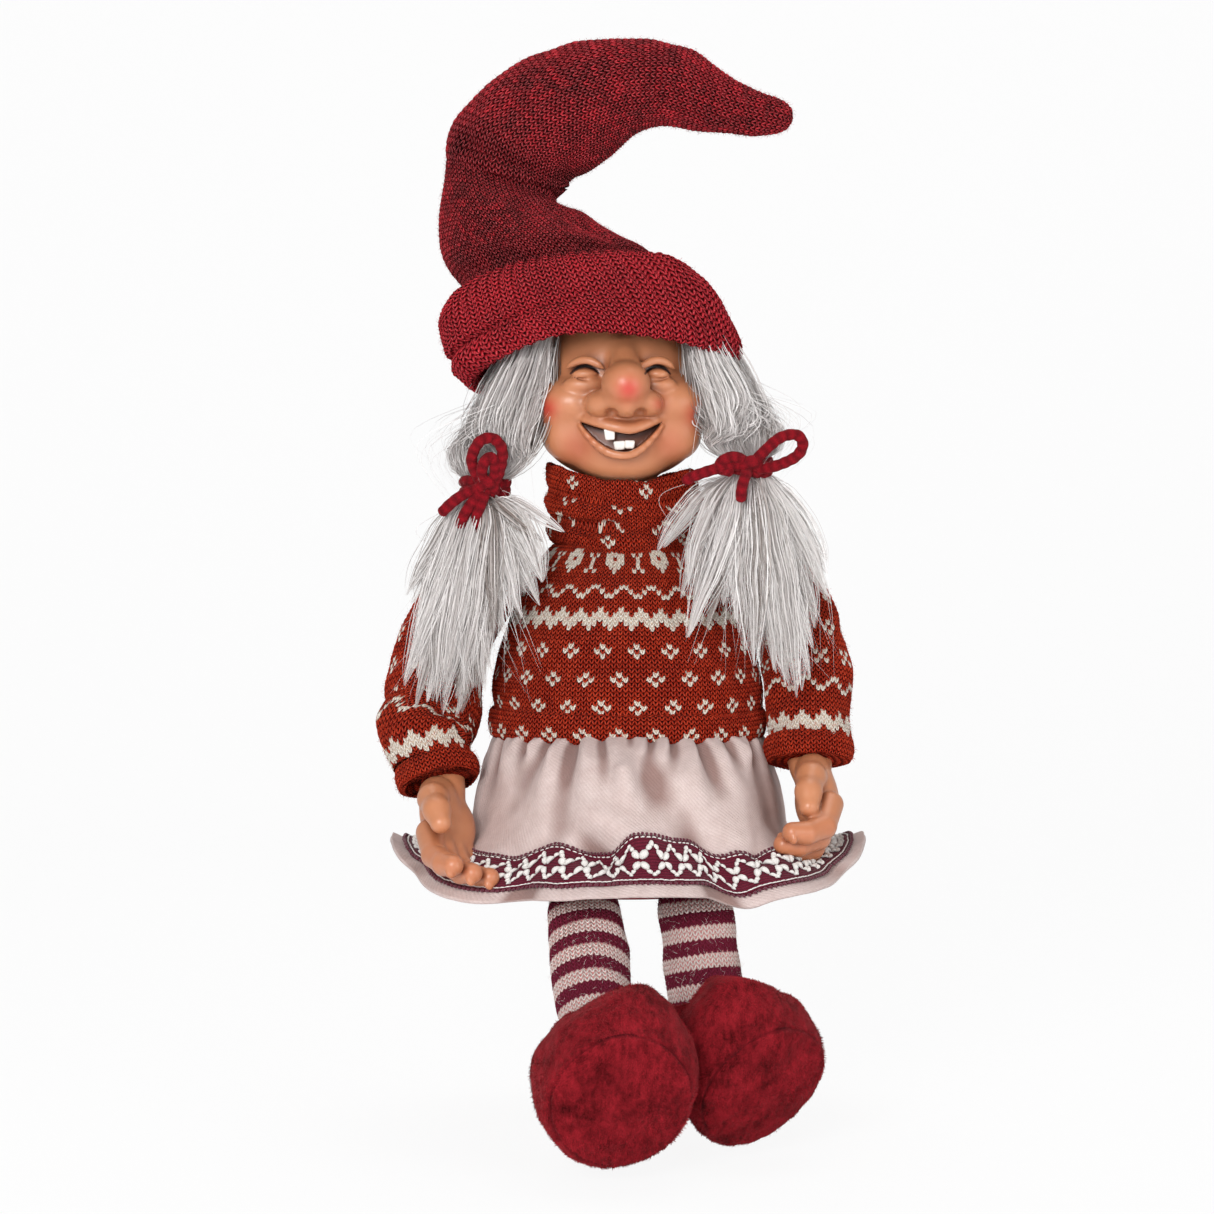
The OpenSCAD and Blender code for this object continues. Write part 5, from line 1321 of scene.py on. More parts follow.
def make_sole(side, material, seed, sole, across, heel, up):
    """Sole panel, slightly domed, with a groove at its seam."""
    angle = TAU * np.arange(BOOT_COLUMNS) / BOOT_COLUMNS
    share = np.linspace(1, 0.01, SOLE_ROWS)
    dome = 5.2 * (1 - share**2.4)
    centre = sole - dome[:, None] * up
    one = np.ones(SOLE_ROWS)[:, None]
    grid = rings(centre, one * across, one * heel, SOLE_HALF_WIDTH * share - 0.7,
                 SOLE_HALF_LENGTH * share - 0.7, BOOT_COLUMNS)
    grid = boot_outline(grid, angle[None], centre[:, None], across, heel, 0.0, side)
    push = (0.8 * noise3(grid, 15, seed + 7) + 0.4 * noise3(grid, 6, seed + 8)
            + 0.16 * noise3(grid, 1.7, seed + 9))
    edge = np.exp(-((1 - share) / 0.03)**2)[:, None]
    sign = -1.0 if (grid_normals(grid)[SOLE_ROWS // 2, 0] @ up) > 0 else 1.0
    grid = grid + grid_normals(grid) * (sign * (push - 1.6 * edge))[..., None]
    piece = new_mesh("boot_sole_" + side, grid.reshape(-1, 3), [grid_quads(SOLE_ROWS, BOOT_COLUMNS)])
    # painted shade in the groove at the sole's seam
    edge = np.repeat(edge, BOOT_COLUMNS, 1).ravel()
    paint(piece, "cloth", np.stack([edge, 0 * edge, 0 * edge], 1))
    finish_piece(piece, material, "leg_" + side, ("boot_sole_" + side,))
    add_pile("sole_pile_" + side, grid, grid_normals(grid) * sign, 14000, seed + 6, material, "leg_" + side,
             heel)


def boot_outline(points, a, centre, across, heel, share, side):
    """Gumdrop outline of a boot: narrow and leaning over at the toe, full at the heel."""
    toe = np.clip(-np.sin(a), 0, 1)
    low = np.clip(np.sin(a), 0, 1)
    u = (points - centre) @ across
    v = (points - centre) @ heel
    slim = 1 - (0.10 + 0.30 * share) * toe**1.6
    lean = LEAN[side] * share * toe**1.5
    u2 = u * slim + lean
    v2 = v * (1 + 0.05 * low - 0.02 * toe)
    return points + (u2 - u)[..., None] * across + (v2 - v)[..., None] * heel


def add_pile(name, grid, normal, count, seed, material, body, down):
    """Short pile of plush: tufts of fibres that lie over in swirls."""
    r = rng(seed)
    rows, columns = grid.shape[:2]
    weight = np.linalg.norm(np.roll(grid, -1, axis=1) - grid, axis=-1).mean(axis=1)
    weight[:max(3, rows // 30)] = 0
    row = r.choice(rows, count, p=weight / weight.sum())
    column = r.integers(0, columns, count)
    root, n = grid[row, column], normal[row, column]
    swirl = np.stack([noise3(root, 16, seed + k, 1) for k in (1, 2, 3)], 1) + 0.7 * down
    lie = unit(swirl - (swirl * n).sum(1, keepdims=True) * n + 0.15 * r.normal(0, 1, root.shape))
    long = r.uniform(0.7, 1.35, (count, 1))
    side = unit(np.cross(n, lie)) * r.uniform(0.08, 0.16, (count, 1))
    knee = root + 0.5 * long * lie + 0.30 * long * n
    tip = root + 1.0 * long * lie + 0.40 * long * n
    points = np.stack([root - side, root + side, knee + 0.8 * side, knee - 0.8 * side, tip], 1).reshape(-1, 3)
    start = 5 * np.arange(count)[:, None]
    piece = new_mesh(name, points, [start + np.array([0, 1, 2, 3]), start + np.array([3, 2, 4])])
    patch = np.clip(0.5 + 0.9 * noise3(root, 9, seed + 4, 1), 0, 1)
    luck = np.repeat(0.4 * r.uniform(0, 1, count) + 0.6 * patch, 5)
    paint(piece, "cloth", np.stack([0 * luck, np.tile([0.1, 0.1, 0.7, 0.7, 1.0], count), luck], 1))
    finish_piece(piece, material, body)


# ---------------------------------------------------------------- skirt

GATHERS = 11
FELT = 1.6


class Skirt:
    """Gathered felt skirt: outer surface as a grid from the hem up to the waist."""

    def __init__(self, columns, rows):
        low, high = box_mm("skirt")
        top = box_mm("sweater_hem")[0][2]
        side, front, back = high[0], -low[1] - 2, high[1]
        hem = 6.0
        sides = even_curve([(side, 22), (side - 13, 16.5), (76, 17.5), (67, 24), (64, 38), (59.5, top - 7),
                            (57, top), (52, top + 4)], rows)
        fronts = even_curve([(front, hem), (front - 8, hem + 7), (front - 17, hem + 18),
                             (front - 23, hem + 32), (front - 29, top - 9), (front - 36, top - 1),
                             (45, top + 4)], rows)
        backs = even_curve([(back, 2), (back - 1, 8), (back - 3, 20), (back - 5, 36), (back - 12, 50),
                            (back - 20, top - 1), (43, top + 4)], rows)
        a = (TAU * np.arange(columns) / columns)[None]
        c, s = np.cos(a), np.sin(a)
        f = np.linspace(1, 0, rows)[:, None]
        square = 1 - 0.14 * f
        side_share = np.abs(c)**8
        ends = np.where((s < 0)[..., None], fronts[:, None], backs[:, None])
        puff = np.where(s < 0, 9.0 * np.abs(s)**6 * np.sin(math.pi * f), 0)
        swing = self.folds(a, f)
        x = np.sign(c) * np.abs(c)**square * (sides[:, :1] + swing * (1 - 0.5 * side_share))
        y = np.sign(s) * np.abs(s)**square * (ends[..., 0] + swing + puff)
        z = ends[..., 1] + (sides[:, 1:] - ends[..., 1]) * side_share + self.lift(a, f)
        self.outer = np.stack([x, y, z], -1)
        push = 0.8 * noise3(self.outer, 22, 91) + 0.3 * noise3(self.outer, 7, 92, 1) + self.swells()
        self.outer, self.normal = shift_out(self.outer, push * self.sign())
        self.normal *= self.sign()
        self.columns, self.rows = columns, rows

    def sign(self):
        n = grid_normals(self.outer)
        return 1.0 if (n[len(n) // 2, 0, 0] > 0) else -1.0

    def folds(self, a, f):
        """Radial swing: broad waves at the hem and tight pleats below the waist."""
        wave = 1.6 * f**1.2 * np.sin(GATHERS * a + 0.7) * np.clip(np.sin(a) + 0.4, 0, 1)
        for at, width, depth in HEM_WAVES:
            wave = wave + depth * f**1.4 * np.exp(-((a - at) / width)**2)
        wave = wave + 1.6 * np.sin(math.pi * f) * np.sin(6 * a + 1.1 + 0.9 * np.sin(3 * a))
        pleat = np.zeros_like(a * f)
        r = rng(93)
        for at, depth, reach in PLEATS + tuple((k, 3.2, 0.4) for k in np.arange(0.15, 2.9, 0.33)):
            bend = at + (0.16 + 0.3 * (at > 4.8) * reach) * f * math.sin(at * 7 + 1)
            wide = 0.030 + 0.20 * f + 0.01 * r.uniform()
            fade = np.exp(-(f / reach)**2)
            pleat = pleat - 1.5 * depth * fade * np.exp(-((a - bend) / wide)**2)
            pleat = pleat + 0.45 * depth * fade * np.exp(-((np.abs(a - bend) - 1.9 * wide) / wide)**2)
        return wave + pleat

    def lift(self, a, f):
        """Rise and fall of the hem where it lies over the lap and sags between."""
        total = np.zeros_like(a * f)
        for at, width, rise in HEM_LIFTS:
            total = total + rise * np.exp(-((a - at) / width)**2) * f**0.8
        return total

    def swells(self):
        """Soft swells and valleys of the felt over the lap."""
        p = self.outer
        total = np.zeros(p.shape[:2])
        for line, width, depth in SKIRT_FOLDS:
            total += crease(p, line, width, depth)
        return total


# Angle, width and rise of the places where the hem rides up or sags
HEM_LIFTS = ((4.72, 0.33, 3.0), (4.15, 0.20, -2.0), (5.14, 0.10, -4.0), (5.50, 0.20, 1.0))
# Angle, width and depth of the broad waves of the hem
HEM_WAVES = ((4.66, 0.27, 4.5), (4.30, 0.10, -6.0), (5.05, 0.09, -6.5), (5.42, 0.22, 3.5), (3.95, 0.18, 3.0),
             (3.60, 0.12, -3.0), (5.80, 0.12, -2.5))
# Angle, depth and reach of the pleats that show below the band
PLEATS = ((4.30, 5.0, 0.42), (4.50, 4.0, 0.30), (4.72, 3.0, 0.22), (4.90, 5.2, 0.40), (5.07, 4.5, 0.34),
          (5.27, 4.4, 0.36), (5.50, 3.6, 0.3), (4.08, 4.2, 0.36), (3.86, 3.6, 0.3), (3.55, 3.4, 0.35),
          (5.85, 3.4, 0.35), (3.22, 3.0, 0.35), (6.15, 3.0, 0.35))
# Places, width and height in mm of the swells on the front of the felt
SKIRT_FOLDS = (
    ([(-46, -70, 52), (-30, -78, 46), (-10, -84, 38), (6, -86, 28)], 7.5, 7.5),
    ([(-44, -74, 34), (-26, -80, 31), (-8, -84, 21)], 7.0, -7.5),
    ([(-2, -72, 58), (2, -80, 46), (-4, -86, 36)], 5.5, 5.0),
    ([(12, -72, 56), (20, -80, 44), (30, -84, 32), (40, -84, 21)], 7.0, -8.0),
    ([(24, -70, 56), (38, -72, 46), (54, -66, 34)], 8.0, 6.0),
    ([(-62, -52, 44), (-52, -62, 30), (-46, -72, 18)], 5.0, -3.5),
    ([(60, -50, 48), (56, -58, 32), (52, -66, 20)], 5.0, -3.5))


def even_curve(stations, count):
    """Smooth curve through stations, with its points evenly spaced."""
    return even_rows(stations, count, 2)[0]


def closed_grid(name, grid):
    """Mesh of a grid that closes on itself both ways, with its flat lay."""
    rows, columns = grid.shape[:2]
    piece = new_mesh(name, grid.reshape(-1, 3), [grid_quads(rows + 1, columns) % (rows * columns)])
    lay_uv(piece, np.concatenate([grid, grid[:1]]))
    return piece


def make_skirt(material):
    """Felt skirt with its thickness, with painted shade inside it and in its pleats."""
    columns, rows = 720, 190
    s = Skirt(columns, rows)
    inner = s.outer - s.normal * FELT
    lip = s.outer[:1] - s.normal[:1] * FELT / 2 + np.array([0, 0, -0.5])
    grid = np.concatenate([inner[::-1], lip, s.outer])
    piece = closed_grid("skirt_cloth", grid)
    shade = np.zeros((len(grid), columns))
    # painted shade on the inside of the skirt
    shade[:rows] = 0.25
    around = s.outer - np.mean(s.outer, axis=1, keepdims=True)
    reach = np.linalg.norm(around[..., :2], axis=-1)
    window = 25
    kernel = np.ones(2 * window + 1) / (2 * window + 1)
    wide = np.concatenate([reach[:, -window:], reach, reach[:, :window]], axis=1)
    level = np.stack([np.convolve(row, kernel, "valid") for row in wide])
    # painted shade in the valleys of the folds and pleats
    shade[rows + 1:] = np.clip((level - reach - 0.2) / 2.4, 0, 0.9)
    paint(piece, "cloth", np.repeat(shade.ravel()[:, None], 3, 1))
    finish_piece(piece, material, "torso", ("skirt", "waist_elastic"))
    return s, piece


def lay_uv(piece, grid):
    """Flat lay of a wrapped grid, in cm, for the weave."""
    rows, columns = grid.shape[:2]
    around = np.linalg.norm(np.roll(grid, -1, axis=1) - grid, axis=-1).mean()
    up = np.concatenate([[0], np.cumsum(np.linalg.norm(np.diff(grid, axis=0), axis=-1).mean(axis=1))])
    j, i = np.meshgrid(np.arange(rows - 1), np.arange(columns), indexing="ij")
    u = np.stack([i, i + 1, i + 1, i], -1) * around / 10
    v = np.stack([up[j], up[j], up[j + 1], up[j + 1]], -1) / 10
    layer = piece.data.uv_layers.new(name="weave")
    layer.data.foreach_set("uv", np.stack([u, v], -1).astype(np.float32).ravel())


def climb(s, distance):
    """Points and normals on the skirt at a distance above its hem, all the way round."""
    step = np.linalg.norm(np.diff(s.outer, axis=0), axis=-1)
    length = np.concatenate([np.zeros((1, s.columns)), np.cumsum(step, axis=0)])
    row = np.array([np.interp(distance, length[:, i], np.arange(s.rows)) for i in range(s.columns)])
    low = np.clip(np.floor(row).astype(int), 0, s.rows - 2)
    f = (row - low)[:, None]
    i = np.arange(s.columns)
    points, normals = (a[low, i] * (1 - f) + a[low + 1, i] * f for a in (s.outer, s.normal))
    return points, unit(normals)


RIBBON_LOW, RIBBON_WIDE = 5.5, 20.0
REPEAT = 8.8


def make_ribbon(s, material, white, dark):
    """Woven band sewn round the skirt, with raised stitching."""
    heights = np.linspace(0, RIBBON_WIDE, 26)
    lines = [climb(s, RIBBON_LOW + h) for h in heights]
    outer = np.stack([p + n * (1.25 - 0.35 * (abs(h / RIBBON_WIDE - 0.5) > 0.47))
                      for (p, n), h in zip(lines, heights)])
    inner = np.stack([p + n * 0.1 for p, n in lines])
    piece = closed_grid("ribbon_band", np.concatenate([outer, inner[::-1]]))
    finish_piece(piece, material, "torso", ("skirt_ribbon",))
    margin, marks = 2.4, 32
    lines = [climb(s, RIBBON_LOW + h) for h in np.linspace(-margin, RIBBON_WIDE + margin, marks)]
    place_points = np.stack([p for p, n in lines])
    place_normals = np.stack([n for p, n in lines])
    middle = place_points[marks // 2]
    step = np.linalg.norm(np.roll(middle, -1, axis=0) - middle, axis=-1)
    around = np.concatenate([[0], np.cumsum(step)])

    def place(u, v, out):
        """Point on the band at u mm round it and v mm up it."""
        i = np.interp(np.mod(u, around[-1]), around, np.arange(s.columns + 1))
        j = np.clip((v + margin) / (RIBBON_WIDE + 2 * margin) * (marks - 1), 0, marks - 1.001)
        i0, j0 = np.floor(i).astype(int), np.floor(j).astype(int)
        fi, fj = (i - i0)[..., None], (j - j0)[..., None]
        i1 = (i0 + 1) % s.columns
        i0 = i0 % s.columns

        def pick(a):
            low = a[j0, i0] * (1 - fi) + a[j0, i1] * fi
            return low * (1 - fj) + (a[j0 + 1, i0] * (1 - fi) + a[j0 + 1, i1] * fi) * fj
        n = unit(pick(place_normals))
        return pick(place_points) + n * out, n

    repeats = int(round(around[-1] / REPEAT))
    period = around[-1] / repeats
    whites = [(k * period + x, y, dx, dy, wide) for k in range(repeats)
              for x, y, dx, dy, wide in lattice(period)]
    whites += [(k * 2.6, RIBBON_WIDE - 1.2, 0.85, 0.0, 0.42) for k in range(int(around[-1] / 2.6))]
    whites += [(k * 1.9, 1.3, 1.05, 0.0, 0.42) for k in range(int(around[-1] / 1.9))]
    add_stitches("ribbon_stitching", place, whites, 1.2, 97, white)
    picots = []
    for v, lean in ((-0.45, -1), (RIBBON_WIDE + 0.45, 1)):
        picots += [(k * 2.0, v, 0.2, 0.6 * lean, 0.95) for k in range(int(around[-1] / 2.0))]
    add_stitches("ribbon_edging", place, picots, 0.3, 98, dark)
    return piece


def lattice(period):
    """Stitches of one repeat as middle, half-length and half-width: two plump petals over two more,
    with a small arch to the next pair above and below."""
    out = []
    for side in (-1, 1):
        for up in (-1, 1):
            out.append((period / 2 + side * 1.4, 10 + up * 2.3, side * 0.95, up * 1.5, 1.75))
            out.append((period / 2 + side * 3.1, 10 + up * 5.0, side * 0.75, up * 0.8, 1.15))
    for up in (-1, 1):
        out.append((0.0, 10 + up * 6.3, 0.75, 0.0, 1.35))
    return out


def add_stitches(name, place, stitches, thick, seed, material):
    """Piece of raised stitches that rides with the band."""
    points, faces = stitch_mesh(place, stitches, thick, seed)
    finish_piece(new_mesh(name, points, faces), material, "torso")


def stitch_mesh(place, stitches, thick, seed):
    """Plump single stitches lying on the band, each a small rounded lozenge."""
    r = rng(seed)
    ring, steps = 6, 6
    t = np.linspace(-1, 1, steps)
    u, v, du, dv, wide = (np.array(k, float)[:, None] for k in zip(*stitches))
    u = u + r.normal(0, 0.12, u.shape)
    v = v + r.normal(0, 0.10, v.shape)
    size = np.sqrt(du**2 + dv**2)
    cu, cv = -dv / size, du / size
    points = []
    for k, p in enumerate(t):
        swell = wide * math.sqrt(max(0.0, 1 - (0.96 * p)**2))**0.8 * 0.75
        lift = thick * 0.35 + 1.0 + 0.55 * wide * (1 - p * p)
        for q in range(ring):
            a = TAU * q / ring
            spot_on_band = place(u + du * p * 1.1 + cu * swell * math.cos(a),
                                 v + dv * p * 1.1 + cv * swell * math.cos(a),
                                 (lift + 0.75 * swell * math.sin(a))[..., None])[0]
            points.append(spot_on_band[:, 0])
    points = np.stack(points, 1)
    count = len(points)
    start = (np.arange(count) * ring * steps)[:, None, None]
    quads = start + grid_quads(steps, ring)[None]
    caps = []
    for k, flip in ((0, True), (steps - 1, False)):
        c = np.arange(ring) + k * ring
        caps.append(start[:, 0] + (c[::-1] if flip else c)[None])
    return points.reshape(-1, 3), [quads.reshape(-1, 4), np.concatenate(caps)]


# ---------------------------------------------------------------- hair

class Strands:
    """Collects hair strands as thin ribbons that taper to a point."""

    def __init__(self, seed):
        self.r = rng(seed)
        self.paths, self.widths, self.shades, self.flat = [], [], [], []

    def add(self, paths, width, shade, facing):
        """paths: (strands, points, 3); facing: (strands, points, 3) way that the ribbons face."""
        n = len(paths)
        self.paths.append(paths)
        self.widths.append(np.broadcast_to(width, (n,)).copy())
        self.shades.append(np.broadcast_to(shade, (n,)).copy())
        self.flat.append(facing)

    def mesh(self, name):
        """Piece of all the strands, two triangles wide at the root and thin at the tip."""
        parts = []
        for paths, width, shade, facing in zip(self.paths, self.widths, self.shades, self.flat):
            n, m = paths.shape[:2]
            along = unit(np.gradient(paths, axis=1))
            side = unit(np.cross(along, facing))
            roll = self.r.uniform(-0.9, 0.9, (n, 1, 1))
            side = unit(side * np.cos(roll) + np.cross(along, side) * np.sin(roll))
            t = np.linspace(0, 1, m)[None, :, None]
            w = width[:, None, None] * np.minimum(1, 6 * t + 0.5) * (1 - t**2.6 * 0.85) / 2
            points = np.stack([paths - side * w, paths + side * w], 2).reshape(-1, 3)
            start = (np.arange(n) * 2 * m)[:, None, None]
            step = (2 * np.arange(m - 1))[None, :, None]
            quads = (start + step + np.array([0, 1, 3, 2])).reshape(-1, 4)
            luck = self.r.uniform(0, 1, n)
            colour = [np.repeat(shade, 2 * m), np.tile(np.repeat(t.ravel(), 2), n), np.repeat(luck, 2 * m)]
            parts.append((points, [quads], np.stack(colour, 1)))
        points, faces, colours = join_arrays(parts)
        piece = new_mesh(name, points, faces)
        paint(piece, "strand", np.clip(colours, 0, 1))
        return piece


def bezier(a, b, c, d, count):
    """Many curves at once from four control points each."""
    t = np.linspace(0, 1, count)[None, :, None]
    a, b, c, d = (k[:, None] for k in (a, b, c, d))
    return a * (1 - t)**3 + 3 * b * t * (1 - t)**2 + 3 * c * t * t * (1 - t) + d * t**3


HEAD_MID = np.array([-3.4, 1.0])
TIES = {"left": np.array([-59, -22, 168.5]), "right": np.array([49, -22, 177.0])}


def keep_outside(paths, gap):
    """Pushes hair off the skull and the cheeks."""
    p = paths - np.array([HEAD_MID[0], HEAD_MID[1], 204])
    r = np.array([33.8, 33.4, 44]) + gap
    d = np.sqrt(((p / r)**2).sum(-1, keepdims=True))
    flat = p * np.array([1, 1, 0])
    push = np.where(d < 1, (1 / np.maximum(d, 0.5) - 1), 0)
    return paths + flat * push


def make_side_hair(side, material, seed):
    """Hair from under the hat down to the tie: locks that start round the head and draw together."""
    sign = -1 if side == "left" else 1
    r = rng(seed)
    strands = Strands(seed + 1)
    tie = TIES[side]
    front_edge = math.radians(50 if side == "left" else 48)
    steps = 16
    for layer, (locks, per, gap) in enumerate(((36, 30, 0.8), (60, 40, 3.2), (90, 40, 5.6), (44, 14, 7.6))):
        around = np.sort(r.uniform(0, 1, locks)) ** (1.3 if layer >= 2 else 1)
        angle = front_edge + around * math.radians(100)
        lift = r.uniform(-2, 8, locks)
        radius = 34.4 + gap + r.uniform(-1.0, 1.0, locks)
        root = np.stack([HEAD_MID[0] + sign * radius * np.sin(angle),
                         HEAD_MID[1] - (radius + 1) * np.cos(angle),
                         228 + lift - 6 * np.clip(around - 0.2, 0, 1)], 1)
        out = unit(root * np.array([1, 1, 0]) - np.array([HEAD_MID[0], HEAD_MID[1], 0]))
        swell = 3 + 3.0 * layer + r.uniform(-2, 3.5, locks)
        mid = root + out * swell[:, None]
        mid[:, 2] = 206 + r.uniform(-4, 4, locks)
        # the mass stays wide until just above the tie
        fan = 2 * around - 1
        lead = tie + np.stack([sign * (-2.0 + 13 * fan + 0.8 * layer + r.normal(0, 1.6, locks)),
                               -3.5 + 7 * around - 1.2 * layer + r.normal(0, 1.3, locks),
                               10.0 + r.uniform(-1, 5, locks)], 1)
        upper = (0.42 + 0.40 * np.clip(1 - 2 * around, 0, 1))[:, None]
        high = mid * upper + lead * (1 - upper) + out * (2.0 + 1.2 * layer)
        high[:, 2] = tie[2] + (22 if side == "left" else 19) + r.uniform(-4, 4, locks)
        grip = 5.8 * np.sqrt(r.uniform(0.15, 1, locks)) if layer < 2 else np.full(locks, 6.0)
        turn = math.pi * (1.1 + 1.3 * around) + r.normal(0, 0.35, locks)
        end = tie + np.stack([sign * grip * np.cos(turn), grip * np.sin(turn) * 0.9, np.full(locks, 0.8)], 1)
        stations = np.stack([root, mid, high, lead, end], 1)
        k = np.repeat(np.arange(locks), per)
        loosen = np.array([1.1, 1.5, 1.5, 0.9, 0.3])[None, :, None]
        spread = r.normal(0, 1, (len(k), 1, 3)) * np.array([1.6, 1.3, 1.1]) * loosen
        paths = smooth_paths(stations[k] + spread, steps)
        paths = keep_outside(paths, gap * 0.5 + 0.4)
        t = np.linspace(0, 1, steps)[None, :, None]
        curl = np.stack([noise3(paths, 13, seed + layer + 10 * q, 1) for q in range(2)], -1)
        loose = np.sin(math.pi * t) * (0.9 + 0.4 * layer)
        paths = paths + (curl[..., :1] * out[k][:, None]
                         + curl[..., 1:] * np.array([0.7 * sign, -0.7, 0])) * loose
        # painted shade: the lower layers, under the others, are darker; locks and strands also vary of their
        # own
        deep = (0.16, 0.48, 0.76, 0.9)[layer]
        shade = np.clip(deep + r.normal(0, 0.17, len(k)) + 0.2 * r.normal(0, 1, locks)[k], 0, 1)
        strands.add(paths, r.uniform(0.26, 0.50, len(k)), shade, np.repeat(out[k][:, None], steps, axis=1))
    add_loose_hair(strands, r, sign, front_edge, tie, steps)
    piece = strands.mesh("hair_" + side)
    nodes = ("hair_left", "wig_cap") if side == "left" else ("hair_right",)
    finish_piece(piece, material, "head", nodes)


def smooth_paths(stations, count):
    """Many curves at once through their own stations, (curves, stations, 3) to (curves, count, 3)."""
    m = stations.shape[1]
    t = np.linspace(0, m - 1, count)
    i = np.clip(np.floor(t).astype(int), 0, m - 2)
    f = (t - i)[None, :, None]
    pad = np.concatenate([2 * stations[:, :1] - stations[:, 1:2], stations,
                          2 * stations[:, -1:] - stations[:, -2:-1]], 1)
    a, b, c, d = pad[:, i], pad[:, i + 1], pad[:, i + 2], pad[:, i + 3]
    return b + 0.5 * f * (c - a + f * (2 * a - 5 * b + 4 * c - d + f * (3 * (b - c) + d - a)))


def add_loose_hair(strands, r, sign, front_edge, tie, steps):
    """Single hairs that stray over the brim, the cheek and the shoulder."""
    n = 130
    angle = front_edge + r.uniform(-0.12, 1.6, n)
    root = np.stack([HEAD_MID[0] + sign * 42 * np.sin(angle), HEAD_MID[1] - 42 * np.cos(angle),
                     r.uniform(218, 231, n)], 1)
    out = unit(root * np.array([1, 1, 0]))
    away = out * r.uniform(2, 13, (n, 1))
    end = tie + r.normal(0, 1, (n, 3)) * np.array([8, 5, 7])
    drop = (root - end)[:, 2:]
    one = root + away + np.array([0, 0, -0.30]) * drop + r.normal(0, 1.5, (n, 3))
    two = end + away * 1.1 + np.array([0, 0, 0.35]) * drop + r.normal(0, 2.0, (n, 3))
    paths = smooth_paths(np.stack([root, one, two, end], 1), steps)
    strands.add(keep_outside(paths, 3), 0.2, 0.95, np.repeat(out[:, None], steps, axis=1))


# Tufts of each bunch: x and z of the tip, how far forward it lies, and its share of the hair
TUFTS = {
    "left": ((-87, 86, 0.55, 1.0), (-80, 78, 0.4, 0.7), (-75, 73.6, 0.7, 1.3), (-69, 80, 0.3, 0.6),
             (-64.8, 86, 0.5, 1.1), (-56.6, 87, 0.4, 0.8), (-52.5, 106, 0.6, 1.0), (-60, 100, 0.2, 0.7),
             (-44, 115, 0.4, 0.7), (-36, 123, 0.55, 0.7), (-82, 98, 0.3, 0.8), (-90, 108, 0.35, 0.5),
             (-32, 147, 0.3, 0.25), (-70, 76, -0.5, 1.0), (-62, 84, -0.6, 1.0), (-80, 88, -0.5, 0.9)),
    "right": ((70, 82, 0.6, 1.0), (64, 86, 0.4, 0.8), (59.8, 90, 0.6, 1.0), (52, 98, 0.3, 0.8),
              (45.5, 106, 0.55, 1.0), (74, 106, 0.5, 0.9), (80, 118, 0.3, 0.6), (37.4, 118.6, 0.5, 0.9),
              (30, 112, 0.3, 0.6), (22.3, 102, 0.45, 0.6), (12.9, 139, 0.3, 0.25), (66, 96, -0.5, 1.0),
              (56, 96, -0.6, 1.0), (48, 106, -0.4, 0.9))}
# Height and depth of the front of the bunches, which lie on the chest and lap
SAG = [(180, -20), (168, -23), (160, -27), (150, -32), (136, -37), (117, -40.5), (100, -42.5), (86, -43.5),
       (70, -43.5)]


def make_back_hair(material, seed):
    """Hair over the back of the head, parted in the middle and drawn to each side."""
    r = rng(seed)
    strands = Strands(seed + 1)
    for locks, per, gap, shade0 in ((30, 26, 1.0, 0.15), (60, 46, 3.6, 0.6)):
        turn = r.uniform(-1, 1, locks) * math.radians(58)
        radius = 33.5 + gap
        root = np.stack([HEAD_MID[0] + radius * np.sin(turn), HEAD_MID[1] + radius * np.cos(turn),
                         226 + r.uniform(-6, 3, locks)], 1)
        end_turn = turn + np.sign(turn) * math.radians(38) * (0.4 + 0.6 * np.abs(turn))
        radius = 38.5 + gap
        end = np.stack([HEAD_MID[0] + radius * np.sin(end_turn),
                        HEAD_MID[1] + radius * np.cos(end_turn) - 1.5,
                        186 + 14 * np.abs(turn) + r.uniform(-3, 5, locks)], 1)
        out = unit((root + end) / 2 * np.array([1, 1, 0]))
        k = np.repeat(np.arange(locks), per)
        spread = r.normal(0, 1, (len(k), 3)) * np.array([2.2, 1.0, 2])
        paths = bezier(root[k] + spread, root[k] + out[k] * 5 + spread + np.array([0, 0, -12]),
                       end[k] + out[k] * 4 + spread + np.array([0, 0, 12]), end[k] + spread * 0.6, 10)
        paths = keep_outside(paths, gap * 0.6)
        # painted shade: the inner layer is darker than the outer, and strands vary of their own
        shade = np.clip(shade0 + r.normal(0, 0.18, len(k)), 0, 1)
        strands.add(paths, r.uniform(0.3, 0.6, len(k)), shade, np.repeat(out[k][:, None], 10, axis=1))
    piece = strands.mesh("hair_back")
    finish_piece(piece, material, "head", ("hair_back",))


